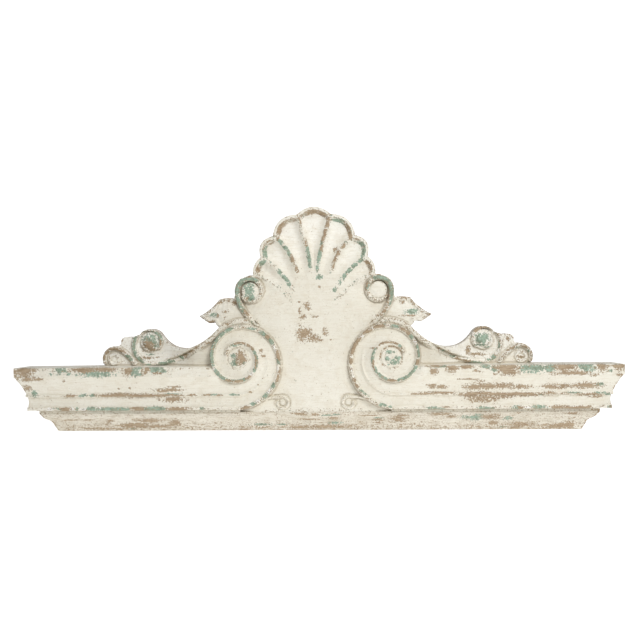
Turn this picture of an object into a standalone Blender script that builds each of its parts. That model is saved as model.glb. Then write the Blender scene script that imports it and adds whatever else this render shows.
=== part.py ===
# A door pediment: a carved crest and crown moulding over a separate bed moulding.
# The back lies flat on the wall (the XZ plane), the front faces -Y and the top is +Z.
# Points of the drawing are (x, height); heights start at the bottom edge of the pediment
# and depths are measured forward from the wall. The right half is drawn and mirrored.

import math
import bpy
import bmesh
import numpy as np
from mathutils import Vector
from mathutils.geometry import delaunay_2d_cdt

# Overall sizes of the cornice
LENGTH = 1.524
CORNICE_HEIGHT = 0.170
TOP_DEPTH = 0.105
JOINT_GAP = 0.0003

# Crown moulding, from the joint with the bed moulding upward
JOINT_HEIGHT = 0.052
BAND_DEPTH = 0.058
SOFFIT_HEIGHT = 0.059
FILLET_DEPTH = 0.0805
FILLET_HEIGHT = 0.0095
FASCIA_DEPTH = 0.0785
FASCIA_DISH = 0.0010
BEAD_DEPTH = 0.0835
BEAD_FOOT = 0.0930
BEAD_TOP = 0.1030
BEAD_ROUND = 0.0020
COVE_SAG = 0.0014
TOP_BAND_HEIGHT = 0.0245
TOP_BAND_STEP = 0.0012

# Bed moulding, from the bottom edge upward
BED_FOOT_DEPTH = 0.0210
BED_FILLET_DEPTH = 0.0275
BED_FILLET_HEIGHT = 0.0135
BED_STEP = 0.0010
BED_MIDDLE_DEPTH = 0.0380
BED_MIDDLE_HEIGHT = 0.0300
BED_UPPER_DEPTH = 0.0535
BED_UPPER_HEIGHT = 0.0445
BED_BULGE = 0.0018
BED_TOP_FILLET = 0.0040

# Carved board and field
BOARD_DEPTH = 0.034
BOARD_NECK_DEPTH = 0.080
BOARD_NECK_X = (0.285, 0.405)
SPANDREL_STEP = 0.007
FIELD_SWELL = 0.020

# Big volutes, their rims rising forward as they wind in
VOLUTE_X = 0.192
VOLUTE_RADIUS = 0.1265
VOLUTE_DECAY = 0.80
VOLUTE_FLAT = 0.006
VOLUTE_TURNS = 1.68
VOLUTE_END_FADE = 0.30
VOLUTE_END_WIDTH = 0.0064
VOLUTE_RISE = ((0.0, FILLET_DEPTH), (0.5, 0.092), (1.0, 0.104), (1.68, 0.102))
VOLUTE_DISH = 0.009
VOLUTE_DISH_EDGE = 0.0036
VOLUTE_ENTRY = 0.20
VOLUTE_BEAD = 0.004
VOLUTE_BEAD_SHARE = 0.48
VOLUTE_BEAD_SPREAD = 0.10
VOLUTE_BEAD_TURNS = (0.15, 0.35)
RUN_OUT_WIDTH = 0.020
RUN_OUT_DEPTH = 0.007
COLLAR_REACH = 0.010
EYE_DISC_RADIUS = 0.0265
EYE_DISC_RISE = 0.004
EYE_DISC_WALL = 0.003
EYE_DISH_WALL = 0.012
EYE_DOME_RADIUS = 0.0165
EYE_DOME_RISE = 0.006

# Shell at the top, heights above the cornice
SHELL_TOP = 0.404
SHELL_CUSPS = ((0.0435, 0.3845), (0.1045, 0.3295), (0.1355, 0.2750), (0.1545, 0.2310))
SHELL_BULGES = (0.0175, 0.0165, 0.0070)
SHELL_RIDGE_PULLS = ((0.0170, 0.3050), (0.0640, 0.3060), (0.0900, 0.2520), (0.0960, 0.2130))
SHELL_RIDGE_ROOTS = ((0.0070, 0.2380), (0.0430, 0.2380), (0.0520, 0.1900), (0.0560, 0.1640))
SHELL_RIM = 0.0085
SHELL_RIM_WALL = 0.0070
SHELL_RIDGE = 0.0030
SHELL_HOLLOW = 0.0130
SHELL_FLUTE = 0.0200
SHELL_FADE = (0.205, 0.290)
SHELL_SPREAD = 1.2

# Ear scrolls beside the shell, heights above the cornice
EAR_CENTRE = (0.1615, 0.1900)
EAR_RADIUS = 0.0398
EAR_DECAY = 0.36
EAR_TURNS = (0.20, 1.14)
EAR_ARC = (-12, 96)
EAR_FOOT_TURN = 0.417
EAR_FOOT_GAP = 0.0093
EAR_PULL = (0.1900, 0.1420)
EAR_HALF_WIDTHS = (0.0058, 0.0040)
EAR_RISE = 0.008
EAR_RISE_SHARE = 0.25
EAR_BED_RADIUS = 0.0300
EAR_BED_RISE = 0.003
EAR_DISC_RADIUS = 0.0215
EAR_DISC_RISE = 0.004

# Leaves, heights above the cornice
LEAF_OUTLINE = ((0.2030, 0.1720, -0.0020), (0.2430, 0.1705, 0.0045), (0.2975, 0.1280, -0.0010),
                (0.2690, 0.1095, 0.0010), (0.2520, 0.1110, -0.0020), (0.2410, 0.0990, 0.0))
LEAF_DEPTHS = (0.080, 0.046)
LEAF_ROOT = (0.1950, 0.1050)
LEAF_REACH = (0.030, 0.120)
LEAF_BORDER = 0.006
LEAF_HOLLOW = 0.006
LEAF_TRUE_SHARE = 0.97

# Side scrolls that sweep from the big volutes to the small ones, heights above the cornice
SCROLL_CENTRE = (0.4290, 0.0625)
SCROLL_RADIUS = 0.0565
SCROLL_DECAY = 1.05
SCROLL_TURNS = 0.86
SCROLL_ARC = (36, 140)
SCROLL_HALF_WIDTHS = (0.0078, 0.0066, 0.0048, 0.0046, 0.0044)
SCROLL_RISE = 0.008
SCROLL_BANK = 0.026
SCROLL_DISH = 0.005
SCROLL_BAND_GAP = 0.0125
SCROLL_BAND_TURNS = (0.43, 0.60)
SCROLL_PULLS = ((0.2900, 0.0390), (0.3600, 0.0065))
SCROLL_DISC_RADIUS = 0.0245
SCROLL_DISC_RISE = 0.004
SCROLL_DOME_RADIUS = 0.0185
SCROLL_DOME_FOOT = 0.006
SCROLL_DOME_RISE = 0.008
HOLLOW_PULLS = ((0.2900, 0.0460), (0.3780, 0.0440))
HOLLOW_LOWEST = (0.3380, 0.0450)
BUD_CORNERS = ((0.4560, 0.0820, 0.0010), (0.4800, 0.0750, -0.0015), (0.5000, 0.0740, -0.0030),
               (0.5060, 0.0590, 0.0010), (0.5140, 0.0520, 0.0))

# Curls at the ends of the crest, heights above the cornice
CURL_CENTRE = (0.5200, 0.0190)
CURL_RADIUS = 0.0330
CURL_ARC = (-33, 98)
CURL_RIM_ARC = (95, -20)
CURL_TAIL = (0.4690, 0.0060)
CURL_PULL = (0.4950, 0.0400)
CURL_HALF_WIDTH = 0.0042
CURL_EYE = (0.5240, 0.0180)
CURL_RING_RADIUS = 0.0155
CURL_RING_RISE = 0.006
CURL_EYE_RADIUS = 0.0080
CURL_EYE_RISE = 0.003
CURL_FRONT = 0.045

# Tendrils under the big volutes
TENDRIL_CENTRE = (0.0845, 0.0750)
TENDRIL_RADII = (0.0170, 0.0120)
TENDRIL_ARC = (60, 370)
TENDRIL_FOOT_TURN = 0.06
TENDRIL_PULL = (0.1150, 0.0930)
TENDRIL_HALF_WIDTH = 0.0028
TENDRIL_RISE = 0.0060
TENDRIL_RISE_SHARE = 0.33
TENDRIL_DISC_RADIUS = 0.0065
TENDRIL_DISC_RISE = 0.0025

# How the relief is drawn
WALL = 0.0020
CREASE = 0.0006
MERGE = 0.0003
WELD = 0.00005
CLEARANCE = 0.0012
BURIED = 0.02
CHANNEL_SHARES = (0.25, 0.75)
DOME_RING_SHARE = 0.6
BUTTON_RING_SHARE = 0.95
FIELD_GRID = 0.024
FIELD_ROW = 0.0192
FIELD_CLEAR = 0.0084
FIELD_REACH = 0.307
CAP_POINTS = 5
BULGE_POINTS = 5
LOBE_POINTS = 7
TOP_LOBE_POINTS = 11
RIDGE_POINTS = 9
LEAF_POINTS = 4
HOLLOW_POINTS = 8
BAND_POINTS = 8
SWEEP_POINTS = 14
STEM_POINTS = 8
CURL_POINTS = 22
SMALL_CURL_POINTS = 12
RIM_POINTS = 44
CHANNEL_POINTS = 26
RING_POINTS = 17
SMALL_RING_POINTS = 11
MOULDING_POINTS = 28
PAINT = (0.80, 0.77, 0.68)
BED_PAINT = (0.76, 0.71, 0.60)
PAINT_ROUGHNESS = 0.75

TOP_BAND_FOOT = CORNICE_HEIGHT - TOP_BAND_HEIGHT
END_X = LENGTH / 2 - TOP_DEPTH
VOLUTE = np.array((VOLUTE_X, SOFFIT_HEIGHT + FILLET_HEIGHT / 2 + VOLUTE_RADIUS))


# Drawing helpers

def on_cornice(point):
    """A crest point, given by its height above the cornice"""
    return np.array((point[0], point[1] + CORNICE_HEIGHT))


def arc(centre, radius, start, end, count):
    """Points on an arc, angles in degrees anticlockwise from +X"""
    angles = np.radians(np.linspace(start, end, count))
    return np.stack((centre[0] + radius * np.cos(angles), centre[1] + radius * np.sin(angles)), 1)


def bulged(start, end, rise, count):
    """An arc between two points that stands out to the right of the way by its rise"""
    start, end = np.asarray(start), np.asarray(end)
    share = np.linspace(0, 1, count)[:, None]
    across = np.array((end[1] - start[1], start[0] - end[0])) / math.dist(start, end)
    return start + (end - start) * share + across * rise * 4 * share * (1 - share)


def bow(start, pulls, end, count):
    """A Bezier curve with one or two pulling points"""
    points = [np.asarray(start), *(np.asarray(pull) for pull in pulls), np.asarray(end)]
    order = len(points) - 1
    share = np.linspace(0, 1, count)[:, None]
    return sum(math.comb(order, i) * share**i * (1 - share)**(order - i) * point
               for i, point in enumerate(points))


def smooth(value):
    """Ramp from 0 to 1 with level ends"""
    value = np.clip(value, 0, 1)
    return value * value * (3 - 2 * value)


def onset(path, share):
    """Ramp from 0 to 1 over the first share of a path's points"""
    return smooth(np.linspace(0, 1 / share, len(path)))


def nearest(path, points):
    """Distance from each point to a polyline, and the share of its length where that is"""
    step = np.diff(path, axis=0)
    length = np.hypot(step[:, 0], step[:, 1])
    offset = points[:, None] - path[:-1]
    share = np.clip((offset * step).sum(2) / length**2, 0, 1)
    gap = offset - share[..., None] * step
    distance = np.hypot(gap[..., 0], gap[..., 1])
    rows, columns = np.arange(len(points)), distance.argmin(1)
    run = np.concatenate(((0,), np.cumsum(length)))
    along = run[columns] + share[rows, columns] * length[columns]
    return distance[rows, columns], along / run[-1]


def inside(polygon, points):
    """Whether each point lies in a closed polygon"""
    result = np.zeros(len(points), bool)
    for start, end in zip(polygon, np.roll(polygon, -1, axis=0)):
        if start[1] == end[1]:
            continue
        spans = (start[1] > points[:, 1]) != (end[1] > points[:, 1])
        crossing = start[0] + (points[:, 1] - start[1]) * (end[0] - start[0]) / (end[1] - start[1])
        result ^= spans & (points[:, 0] < crossing)
    return result


def beside(path, offset):
    """The path moved sideways, to its left where the offset is positive"""
    way = np.gradient(path, axis=0)
    way /= np.hypot(way[:, 0], way[:, 1])[:, None]
    return path + np.stack((-way[:, 1], way[:, 0]), 1) * np.reshape(offset, (-1, 1))


def around(path, offset):
    """A closed line around a path at a distance, with round ends"""
    offset = np.broadcast_to(offset, len(path))
    left, right = beside(path, offset), beside(path, -offset)
    caps = []
    for end, before, reach in ((path[-1], path[-2], offset[-1]), (path[0], path[1], offset[0])):
        heading = math.degrees(math.atan2(*(end - before)[::-1]))
        caps.append(arc(end, reach, heading + 90, heading - 90, CAP_POINTS)[1:-1])
    loop = np.concatenate((left, caps[0], right[::-1], caps[1]))
    return np.concatenate((loop, loop[:1]))


class Strand:
    """A raised band with a flat top that follows a path"""

    def __init__(self, path, half_widths, fronts):
        self.path = path
        self.half_widths = half_widths
        self.fronts = np.asarray(fronts)

    def half(self, along):
        """Half the width at a share of the length"""
        return np.interp(along, np.linspace(0, 1, len(self.half_widths)), self.half_widths)

    def front(self, along):
        """Depth of the top at a share of the length"""
        return np.interp(along, np.linspace(0, 1, len(self.fronts)), self.fronts)

    def cover(self, points):
        """How far each point is under the band, from 0 to 1, and the band's front there"""
        distance, along = nearest(self.path, points)
        return 1 - np.clip((distance - self.half(along)) / WALL, 0, 1), self.front(along)

    def lines(self):
        """The edges of the top and the feet of the walls"""
        half = self.half(np.linspace(0, 1, len(self.path)))
        return [around(self.path, half), around(self.path, half + WALL)]


# Mouldings

def crown_profile():
    """Depth and height down to up, along the front of the crown moulding"""
    fascia_middle = (SOFFIT_HEIGHT + FILLET_HEIGHT + BEAD_FOOT) / 2
    cove = bulged((BEAD_DEPTH - TOP_BAND_STEP, BEAD_TOP),
                  (TOP_DEPTH - TOP_BAND_STEP, TOP_BAND_FOOT), -COVE_SAG, BULGE_POINTS)
    return np.array([
        (BAND_DEPTH, JOINT_HEIGHT),
        (BAND_DEPTH, SOFFIT_HEIGHT),
        (FILLET_DEPTH, SOFFIT_HEIGHT + CREASE),
        (FILLET_DEPTH, SOFFIT_HEIGHT + FILLET_HEIGHT),
        (FASCIA_DEPTH, SOFFIT_HEIGHT + FILLET_HEIGHT + CREASE),
        (FASCIA_DEPTH - FASCIA_DISH, fascia_middle),
        (FASCIA_DEPTH, BEAD_FOOT),
        (BEAD_DEPTH, BEAD_FOOT + BEAD_ROUND),
        (BEAD_DEPTH, BEAD_TOP - BEAD_ROUND),
        *cove,
        (TOP_DEPTH, TOP_BAND_FOOT + CREASE),
        (TOP_DEPTH, CORNICE_HEIGHT),
    ])


def bed_profile():
    """Depth and height around the section of the bed moulding, drawn from the wall"""
    top = JOINT_HEIGHT - JOINT_GAP
    middle = bulged((BED_FILLET_DEPTH + BED_STEP, BED_FILLET_HEIGHT + CREASE),
                    (BED_MIDDLE_DEPTH, BED_MIDDLE_HEIGHT), -BED_BULGE, BULGE_POINTS)
    upper = bulged((BED_MIDDLE_DEPTH + BED_STEP, BED_MIDDLE_HEIGHT + CREASE),
                   (BED_UPPER_DEPTH, BED_UPPER_HEIGHT), BED_BULGE, BULGE_POINTS)
    return [(0, 0), (BED_FOOT_DEPTH, 0), (BED_FILLET_DEPTH, BED_FILLET_HEIGHT), *middle, *upper,
            (BED_UPPER_DEPTH + BED_STEP, BED_UPPER_HEIGHT + CREASE),
            (BAND_DEPTH - BED_STEP, top - BED_TOP_FILLET), (BAND_DEPTH - BED_STEP, top), (0, top)]


# Paths of the carving

def volute_radius(turn):
    """Radius of the big volute's rim, turns counted from straight down towards the centre line"""
    flat = VOLUTE_FLAT * np.sin(math.pi * np.minimum(turn, 1))**2
    return VOLUTE_RADIUS * np.exp(-VOLUTE_DECAY * turn) - flat


def volute_point(turn, gap=0.0):
    """A point on the big volute's rim, or at a gap outside it"""
    turn = np.asarray(turn)
    radius = volute_radius(turn) + gap
    angle = 2 * math.pi * turn
    return VOLUTE + np.stack((-radius * np.sin(angle), -radius * np.cos(angle)), -1)


def turn_radii(turn):
    """Radii of the rim's first turn and of its second, which ends at the eye"""
    return volute_radius(turn), np.maximum(volute_radius(turn + 1), volute_radius(VOLUTE_TURNS))


def volute_rim():
    """The rim of the big volute, which leaves the lower fillet"""
    turns = np.linspace(0, VOLUTE_TURNS, RIM_POINTS)
    fronts = np.interp(turns, *zip(*VOLUTE_RISE))
    return Strand(volute_point(turns), (FILLET_HEIGHT / 2, VOLUTE_END_WIDTH / 2), fronts)


def spiral(centre, radius, decay, start, end, count):
    """A scroll that winds anticlockwise, turns counted from straight down"""
    turns = np.linspace(start, end, count)
    reach = radius * np.exp(-decay * (turns - start))
    angle = 2 * math.pi * turns
    return centre + np.stack((reach * np.sin(angle), -reach * np.cos(angle)), 1)


def ear_rim():
    """The strand that climbs from the big volute and curls beside the shell"""
    reach = EAR_RADIUS - EAR_HALF_WIDTHS[0]
    curl = spiral(on_cornice(EAR_CENTRE), reach, EAR_DECAY, *EAR_TURNS, CURL_POINTS)
    foot = volute_point(EAR_FOOT_TURN, EAR_FOOT_GAP)
    stem = bow(foot, (on_cornice(EAR_PULL),), curl[0], STEM_POINTS)[:-1]
    path = np.concatenate((stem, curl))
    rise = EAR_RISE * onset(path, EAR_RISE_SHARE)
    return Strand(path, EAR_HALF_WIDTHS, field_depth(path) + rise)


def side_strand():
    """The band over the big volute that sweeps down and round the small one"""
    band = volute_point(np.linspace(*SCROLL_BAND_TURNS, BAND_POINTS), SCROLL_BAND_GAP)
    curl = spiral(on_cornice(SCROLL_CENTRE), SCROLL_RADIUS, SCROLL_DECAY, 0, SCROLL_TURNS,
                  CURL_POINTS)
    pulls = [on_cornice(pull) for pull in SCROLL_PULLS]
    sweep = bow(band[-1], pulls, curl[0], SWEEP_POINTS)[1:-1]
    path = np.concatenate((band, sweep, curl))
    return Strand(path, SCROLL_HALF_WIDTHS, board_depth(path) + SCROLL_RISE)


def curl_rim():
    """The strand of the small curl at the end of the crest"""
    reach = CURL_RADIUS - CURL_HALF_WIDTH
    head = arc(on_cornice(CURL_CENTRE), reach, *CURL_RIM_ARC, SMALL_CURL_POINTS)
    tail = bow(on_cornice(CURL_TAIL), (on_cornice(CURL_PULL),), head[0], STEM_POINTS)[:-1]
    path = np.concatenate((tail, head))
    return Strand(path, (CURL_HALF_WIDTH, CURL_HALF_WIDTH), (CURL_FRONT, CURL_FRONT))


def tendril():
    """The thin tendril that leaves the foot of the volute and curls on the field"""
    angles = np.radians(np.linspace(*TENDRIL_ARC, SMALL_CURL_POINTS))
    reach = np.linspace(*TENDRIL_RADII, SMALL_CURL_POINTS)
    curl = TENDRIL_CENTRE + np.stack((reach * np.cos(angles), reach * np.sin(angles)), 1)
    foot = volute_point(TENDRIL_FOOT_TURN)
    stem = bow(foot, (TENDRIL_PULL,), curl[0], STEM_POINTS)[:-1]
    path = np.concatenate((stem, curl))
    rise = TENDRIL_RISE * onset(path, TENDRIL_RISE_SHARE)
    return Strand(path, (TENDRIL_HALF_WIDTH, TENDRIL_HALF_WIDTH), field_depth(path) + rise)


def shell_ridges():
    """The ridges between the hollow lobes, from the scalloped edge to the root"""
    return [bow(on_cornice(cusp), (on_cornice(pull),), on_cornice(root), RIDGE_POINTS)
            for cusp, pull, root in zip(SHELL_CUSPS, SHELL_RIDGE_PULLS, SHELL_RIDGE_ROOTS)]


def shell_edge():
    """The scalloped edge of the shell, from the lowest cusp up to the top centre"""
    cusps = [on_cornice(cusp) for cusp in SHELL_CUSPS]
    lobes = [bulged(cusps[i + 1], cusps[i], SHELL_BULGES[i], LOBE_POINTS)[:-1]
             for i in (2, 1, 0)]
    crown = SHELL_TOP + CORNICE_HEIGHT - cusps[0][1]
    top = bulged(cusps[0], cusps[0] * (-1, 1), crown, TOP_LOBE_POINTS)
    top = top[:TOP_LOBE_POINTS // 2 + 1]
    return np.concatenate((*lobes, top))


def chain(corners):
    """Bulged lines from corner to corner, each corner with the rise of the line after it"""
    runs = [bulged(on_cornice(start[:2]), on_cornice(end[:2]), start[2], LEAF_POINTS)[:-1]
            for start, end in zip(corners, corners[1:])]
    return np.concatenate(runs)


def crest_outline():
    """Outline of the right half, anticlockwise from the foot of the centre line"""
    ends = [(END_X + depth, height) for depth, height in crown_profile()]
    scroll = on_cornice(SCROLL_CENTRE)
    reach = math.dist(SCROLL_CENTRE, BUD_CORNERS[0][:2])
    small = arc(scroll, reach, *SCROLL_ARC, SMALL_CURL_POINTS)
    leaf_foot = on_cornice(LEAF_OUTLINE[-1][:2])
    hollow = np.concatenate((
        bow(small[-1], (on_cornice(HOLLOW_PULLS[1]),), on_cornice(HOLLOW_LOWEST),
            HOLLOW_POINTS)[1:-1],
        bow(on_cornice(HOLLOW_LOWEST), (on_cornice(HOLLOW_PULLS[0]),), leaf_foot,
            HOLLOW_POINTS)[:-1]))
    curl = arc(on_cornice(CURL_CENTRE), CURL_RADIUS, *CURL_ARC, SMALL_CURL_POINTS)
    bud = chain(BUD_CORNERS)[:0:-1]
    leaf = np.concatenate((chain(LEAF_OUTLINE), leaf_foot[None]))[::-1]
    ear = arc(on_cornice(EAR_CENTRE), EAR_RADIUS, *EAR_ARC, SMALL_CURL_POINTS)
    return np.concatenate((((0, JOINT_HEIGHT),), ends, curl, bud, small, hollow, leaf, ear,
                           shell_edge()))


# Relief

def field_depth(points):
    """Front of the plain field, which swells between its foot and the top of the shell"""
    share = (points[:, 1] - JOINT_HEIGHT) / (CORNICE_HEIGHT + SHELL_TOP - JOINT_HEIGHT)
    return BAND_DEPTH + FIELD_SWELL * np.sin(math.pi * np.clip(share, 0, 1))


def board_depth(points):
    """Front of the board, which comes forward where the scrolls join the big volutes"""
    neck, board = BOARD_NECK_X
    share = smooth((board - points[:, 0]) / (board - neck))
    return BOARD_DEPTH + (BOARD_NECK_DEPTH - BOARD_DEPTH) * share


def leaf_depth(points):
    """Front of the leaf, which falls back from its root to its tip"""
    reach = np.hypot(*(points - on_cornice(LEAF_ROOT)).T)
    share = smooth((reach - LEAF_REACH[0]) / (LEAF_REACH[1] - LEAF_REACH[0]))
    return LEAF_DEPTHS[0] + (LEAF_DEPTHS[1] - LEAF_DEPTHS[0]) * share


def body_polygon(rim, ear):
    """Outline of the thick middle: field, shell and ears"""
    above = CORNICE_HEIGHT + 2 * SHELL_TOP
    half_turn = rim.path[:RIM_POINTS // 4 + 1]
    climb = ear.path[:STEM_POINTS + CURL_POINTS // 4]
    return np.concatenate((((-LENGTH, 0), (VOLUTE_X, 0)), half_turn, climb,
                           ((LENGTH, above), (-LENGTH, above))))


def leaf_polygon():
    """Outline of the leaf, running in under the ear and the band"""
    foot = volute_point(EAR_FOOT_TURN, EAR_FOOT_GAP)
    return np.concatenate((chain(LEAF_OUTLINE), [on_cornice(LEAF_OUTLINE[-1][:2])],
                           (volute_point(0.5), foot)))


def shell_relief(points, depth):
    """Hollow lobes between the ridges, inside the rim"""
    rim_gap, _ = nearest(shell_edge(), points)
    ridges = [nearest(path, points)[0] for path in shell_ridges()]
    flute = np.clip((np.min(ridges, axis=0) - SHELL_RIDGE) / SHELL_FLUTE, 0, 1)
    edge = smooth((rim_gap - SHELL_RIM) / SHELL_RIM_WALL)
    low, high = SHELL_FADE
    reach = np.hypot(points[:, 0] * SHELL_SPREAD, points[:, 1] - CORNICE_HEIGHT)
    fade = smooth((reach - low) / (high - low))
    return depth - SHELL_HOLLOW * flute * (2 - flute) * edge * fade


def volute_place(points):
    """Turn and radius of each point about the big volute's eye"""
    gap = points - VOLUTE
    turn = np.arctan2(-gap[:, 0], -gap[:, 1]) / (2 * math.pi) % 1
    return turn, np.hypot(gap[:, 0], gap[:, 1])


def volute_relief(points, depth):
    """Channels between the turns of the big volute, and its eye"""
    turn, radius = volute_place(points)
    rise_turns, rise_fronts = zip(*VOLUTE_RISE)
    outer, inner = turn_radii(turn)
    share = np.clip((radius - inner) / (outer - inner), 0, 1)
    fronts = [np.interp(turn + extra, rise_turns, rise_fronts) for extra in (0, 1)]
    channel = fronts[1] + (fronts[0] - fronts[1]) * share - VOLUTE_DISH_EDGE - (
        VOLUTE_DISH - VOLUTE_DISH_EDGE) * np.sin(math.pi * share)
    bead = np.clip(1 - abs(share - VOLUTE_BEAD_SHARE) / VOLUTE_BEAD_SPREAD, 0, 1)
    last, gone = VOLUTE_BEAD_TURNS
    channel += VOLUTE_BEAD * bead * (1 - smooth((turn - last) / (gone - last)))
    heights, depths = crown_profile()[:, 1], crown_profile()[:, 0]
    straight = np.interp(VOLUTE[1] - volute_radius(1) - share * (
        VOLUTE_RADIUS - volute_radius(1)), heights, depths)
    straight -= RUN_OUT_DEPTH * (1 - smooth((radius - inner) / RUN_OUT_WIDTH))
    channel = straight + (channel - straight) * smooth(turn / VOLUTE_ENTRY)
    core = fronts[1] - VOLUTE_DISH * smooth((inner - radius) / EYE_DISH_WALL)
    scroll = np.where(radius < inner, core, channel)
    plain = fronts[0] - VOLUTE_DISH * smooth((outer - radius) / EYE_DISH_WALL)
    scroll += (plain - scroll) * smooth((turn + 1 - VOLUTE_TURNS) / VOLUTE_END_FADE + 0.5)
    disc = smooth((EYE_DISC_RADIUS - radius) / EYE_DISC_WALL)
    dome = np.sqrt(np.clip(1 - (radius / EYE_DOME_RADIUS)**2, 0, 1))
    scroll += EYE_DISC_RISE * disc + EYE_DOME_RISE * dome
    return np.where(radius < outer, scroll, depth)


def run_out(points):
    """How far each point has run out against the big volute, from none to all"""
    turn, radius = volute_place(points)
    gap = (radius - volute_radius(np.where(turn > 0.5, turn, 1))) / RUN_OUT_WIDTH
    return (1 - smooth(gap)) * (points[:, 0] > VOLUTE_X)


def cornice_relief(points):
    """The crown moulding, run out softly against the big volutes"""
    profile = crown_profile()
    depth = np.interp(points[:, 1], profile[:, 1], profile[:, 0])
    return depth - RUN_OUT_DEPTH * run_out(points)


def cornice_step(points):
    """From the cornice to the board above it, a sharp ledge that softens by the big volute"""
    spread = COLLAR_REACH * run_out(points)
    return smooth((points[:, 1] - CORNICE_HEIGHT + spread) / (CREASE + 2 * spread))


def disc(points, depth, centre, radius, front, dome):
    """A round button with a domed top"""
    reach = np.hypot(*(points - centre).T)
    height = front + dome * np.sqrt(np.clip(1 - (reach / radius)**2, 0, 1))
    cover = 1 - np.clip((reach - radius) / WALL, 0, 1)
    return depth + (height - depth) * cover


def relief(points, strands):
    """Depth of the carved front at each point of the right half"""
    rim, ear, side, curl, thin = strands
    depth = board_depth(points)
    swept = side.path[BAND_POINTS:BAND_POINTS + SWEEP_POINTS]
    below = inside(np.concatenate((swept, ((swept[-1][0], 0), (VOLUTE_X, 0)))), points)
    bank = SCROLL_RISE * (1 - smooth(nearest(swept, points)[0] / SCROLL_BANK))
    reach = np.hypot(*(points - on_cornice(SCROLL_CENTRE)).T) - SCROLL_DISC_RADIUS
    bank -= (SCROLL_DISH + bank) * (1 - smooth(reach / SCROLL_BANK))
    depth = depth + np.where(below, -SPANDREL_STEP, bank)
    leaf_edge = leaf_polygon()
    rim_gap = nearest(leaf_edge[:-2], points)[0]
    leaf = leaf_depth(points) - LEAF_HOLLOW * smooth((rim_gap - LEAF_BORDER) / LEAF_BORDER)
    grown = np.concatenate((beside(leaf_edge[:-2], CREASE), leaf_edge[-2:]))
    depth = np.where(inside(grown, points), leaf, depth)
    step = cornice_step(points)
    cornice = cornice_relief(points)
    depth = cornice + (depth - cornice) * step
    body = inside(body_polygon(rim, ear), points)
    depth = np.where(body, shell_relief(points, field_depth(points)), depth)
    reach = np.hypot(*(points - on_cornice(EAR_CENTRE)).T)
    depth = depth + EAR_BED_RISE * np.clip((EAR_BED_RADIUS - reach) / WALL, 0, 1) * body
    depth = volute_relief(points, depth)
    for strand, share in ((thin, 1), (side, step), (curl, step), (ear, 1), (rim, 1)):
        cover, front = strand.cover(points)
        depth = depth + (front - depth) * cover * share
    buttons = (
        (on_cornice(EAR_CENTRE), EAR_DISC_RADIUS, BAND_DEPTH + FIELD_SWELL + EAR_BED_RISE,
         EAR_DISC_RISE),
        (on_cornice(SCROLL_CENTRE), SCROLL_DISC_RADIUS, BOARD_DEPTH + SCROLL_DISC_RISE, 0),
        (on_cornice(SCROLL_CENTRE), SCROLL_DOME_RADIUS, BOARD_DEPTH + SCROLL_DOME_FOOT,
         SCROLL_DOME_RISE),
        (on_cornice(CURL_EYE), CURL_RING_RADIUS, BOARD_DEPTH + CURL_RING_RISE, 0),
        (on_cornice(CURL_EYE), CURL_EYE_RADIUS, BOARD_DEPTH, CURL_EYE_RISE),
        (np.array(TENDRIL_CENTRE), TENDRIL_DISC_RADIUS, BAND_DEPTH + TENDRIL_DISC_RISE,
         TENDRIL_DISC_RISE),
    )
    for centre, radius, front, dome in buttons:
        depth = disc(points, depth, centre, radius, front, dome)
    return depth


# Lines that the surface is folded along

def cornice_lines():
    """The arrises of the crown moulding, from the volute to the end"""
    lines = []
    for depth, height in crown_profile()[1:]:
        reach = END_X + depth
        across = np.linspace(VOLUTE_X, reach, MOULDING_POINTS)
        lines.append(np.array([(x, height) for x in across]))
    across = np.linspace(VOLUTE_X, CURL_CENTRE[0], MOULDING_POINTS)
    return lines + [np.array([(x, CORNICE_HEIGHT + CREASE) for x in across])]


def volute_lines():
    """Rings of the channels and of the eye"""
    turns = np.linspace(0, 1, CHANNEL_POINTS + 2)[1:-1]
    outer, inner = turn_radii(turns)
    angle = 2 * math.pi * turns
    way = np.stack((-np.sin(angle), -np.cos(angle)), 1)
    bead = (VOLUTE_BEAD_SHARE - VOLUTE_BEAD_SPREAD, VOLUTE_BEAD_SHARE,
            VOLUTE_BEAD_SHARE + VOLUTE_BEAD_SPREAD)
    lines = [VOLUTE + way * (inner + share * (outer - inner))[:, None]
             for share in (*CHANNEL_SHARES, *bead)]
    rings = (EYE_DOME_RADIUS * DOME_RING_SHARE, EYE_DOME_RADIUS,
             EYE_DISC_RADIUS - EYE_DISC_WALL, EYE_DISC_RADIUS)
    return lines + [arc(VOLUTE, radius, 0, 360, RING_POINTS) for radius in rings]


def shell_lines():
    """The scalloped rim, the ridges and the bottoms of the lobes"""
    edge, ridges = shell_edge(), shell_ridges()
    lines = [beside(edge, SHELL_RIM), beside(edge, SHELL_RIM + SHELL_RIM_WALL)]
    for ridge in ridges:
        lines += [ridge, beside(ridge, SHELL_RIDGE), beside(ridge, -SHELL_RIDGE),
                  beside(ridge, SHELL_FLUTE / 2), beside(ridge, -SHELL_FLUTE / 2)]
    return lines


def leaf_lines():
    """The border and the hollow of the leaf"""
    edge = leaf_polygon()[:-2]
    lines = []
    for offset in (LEAF_BORDER, 2 * LEAF_BORDER):
        line = beside(edge, -offset)
        lines += runs_of(line, nearest(edge, line)[0] > LEAF_TRUE_SHARE * offset)
    return lines


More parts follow.
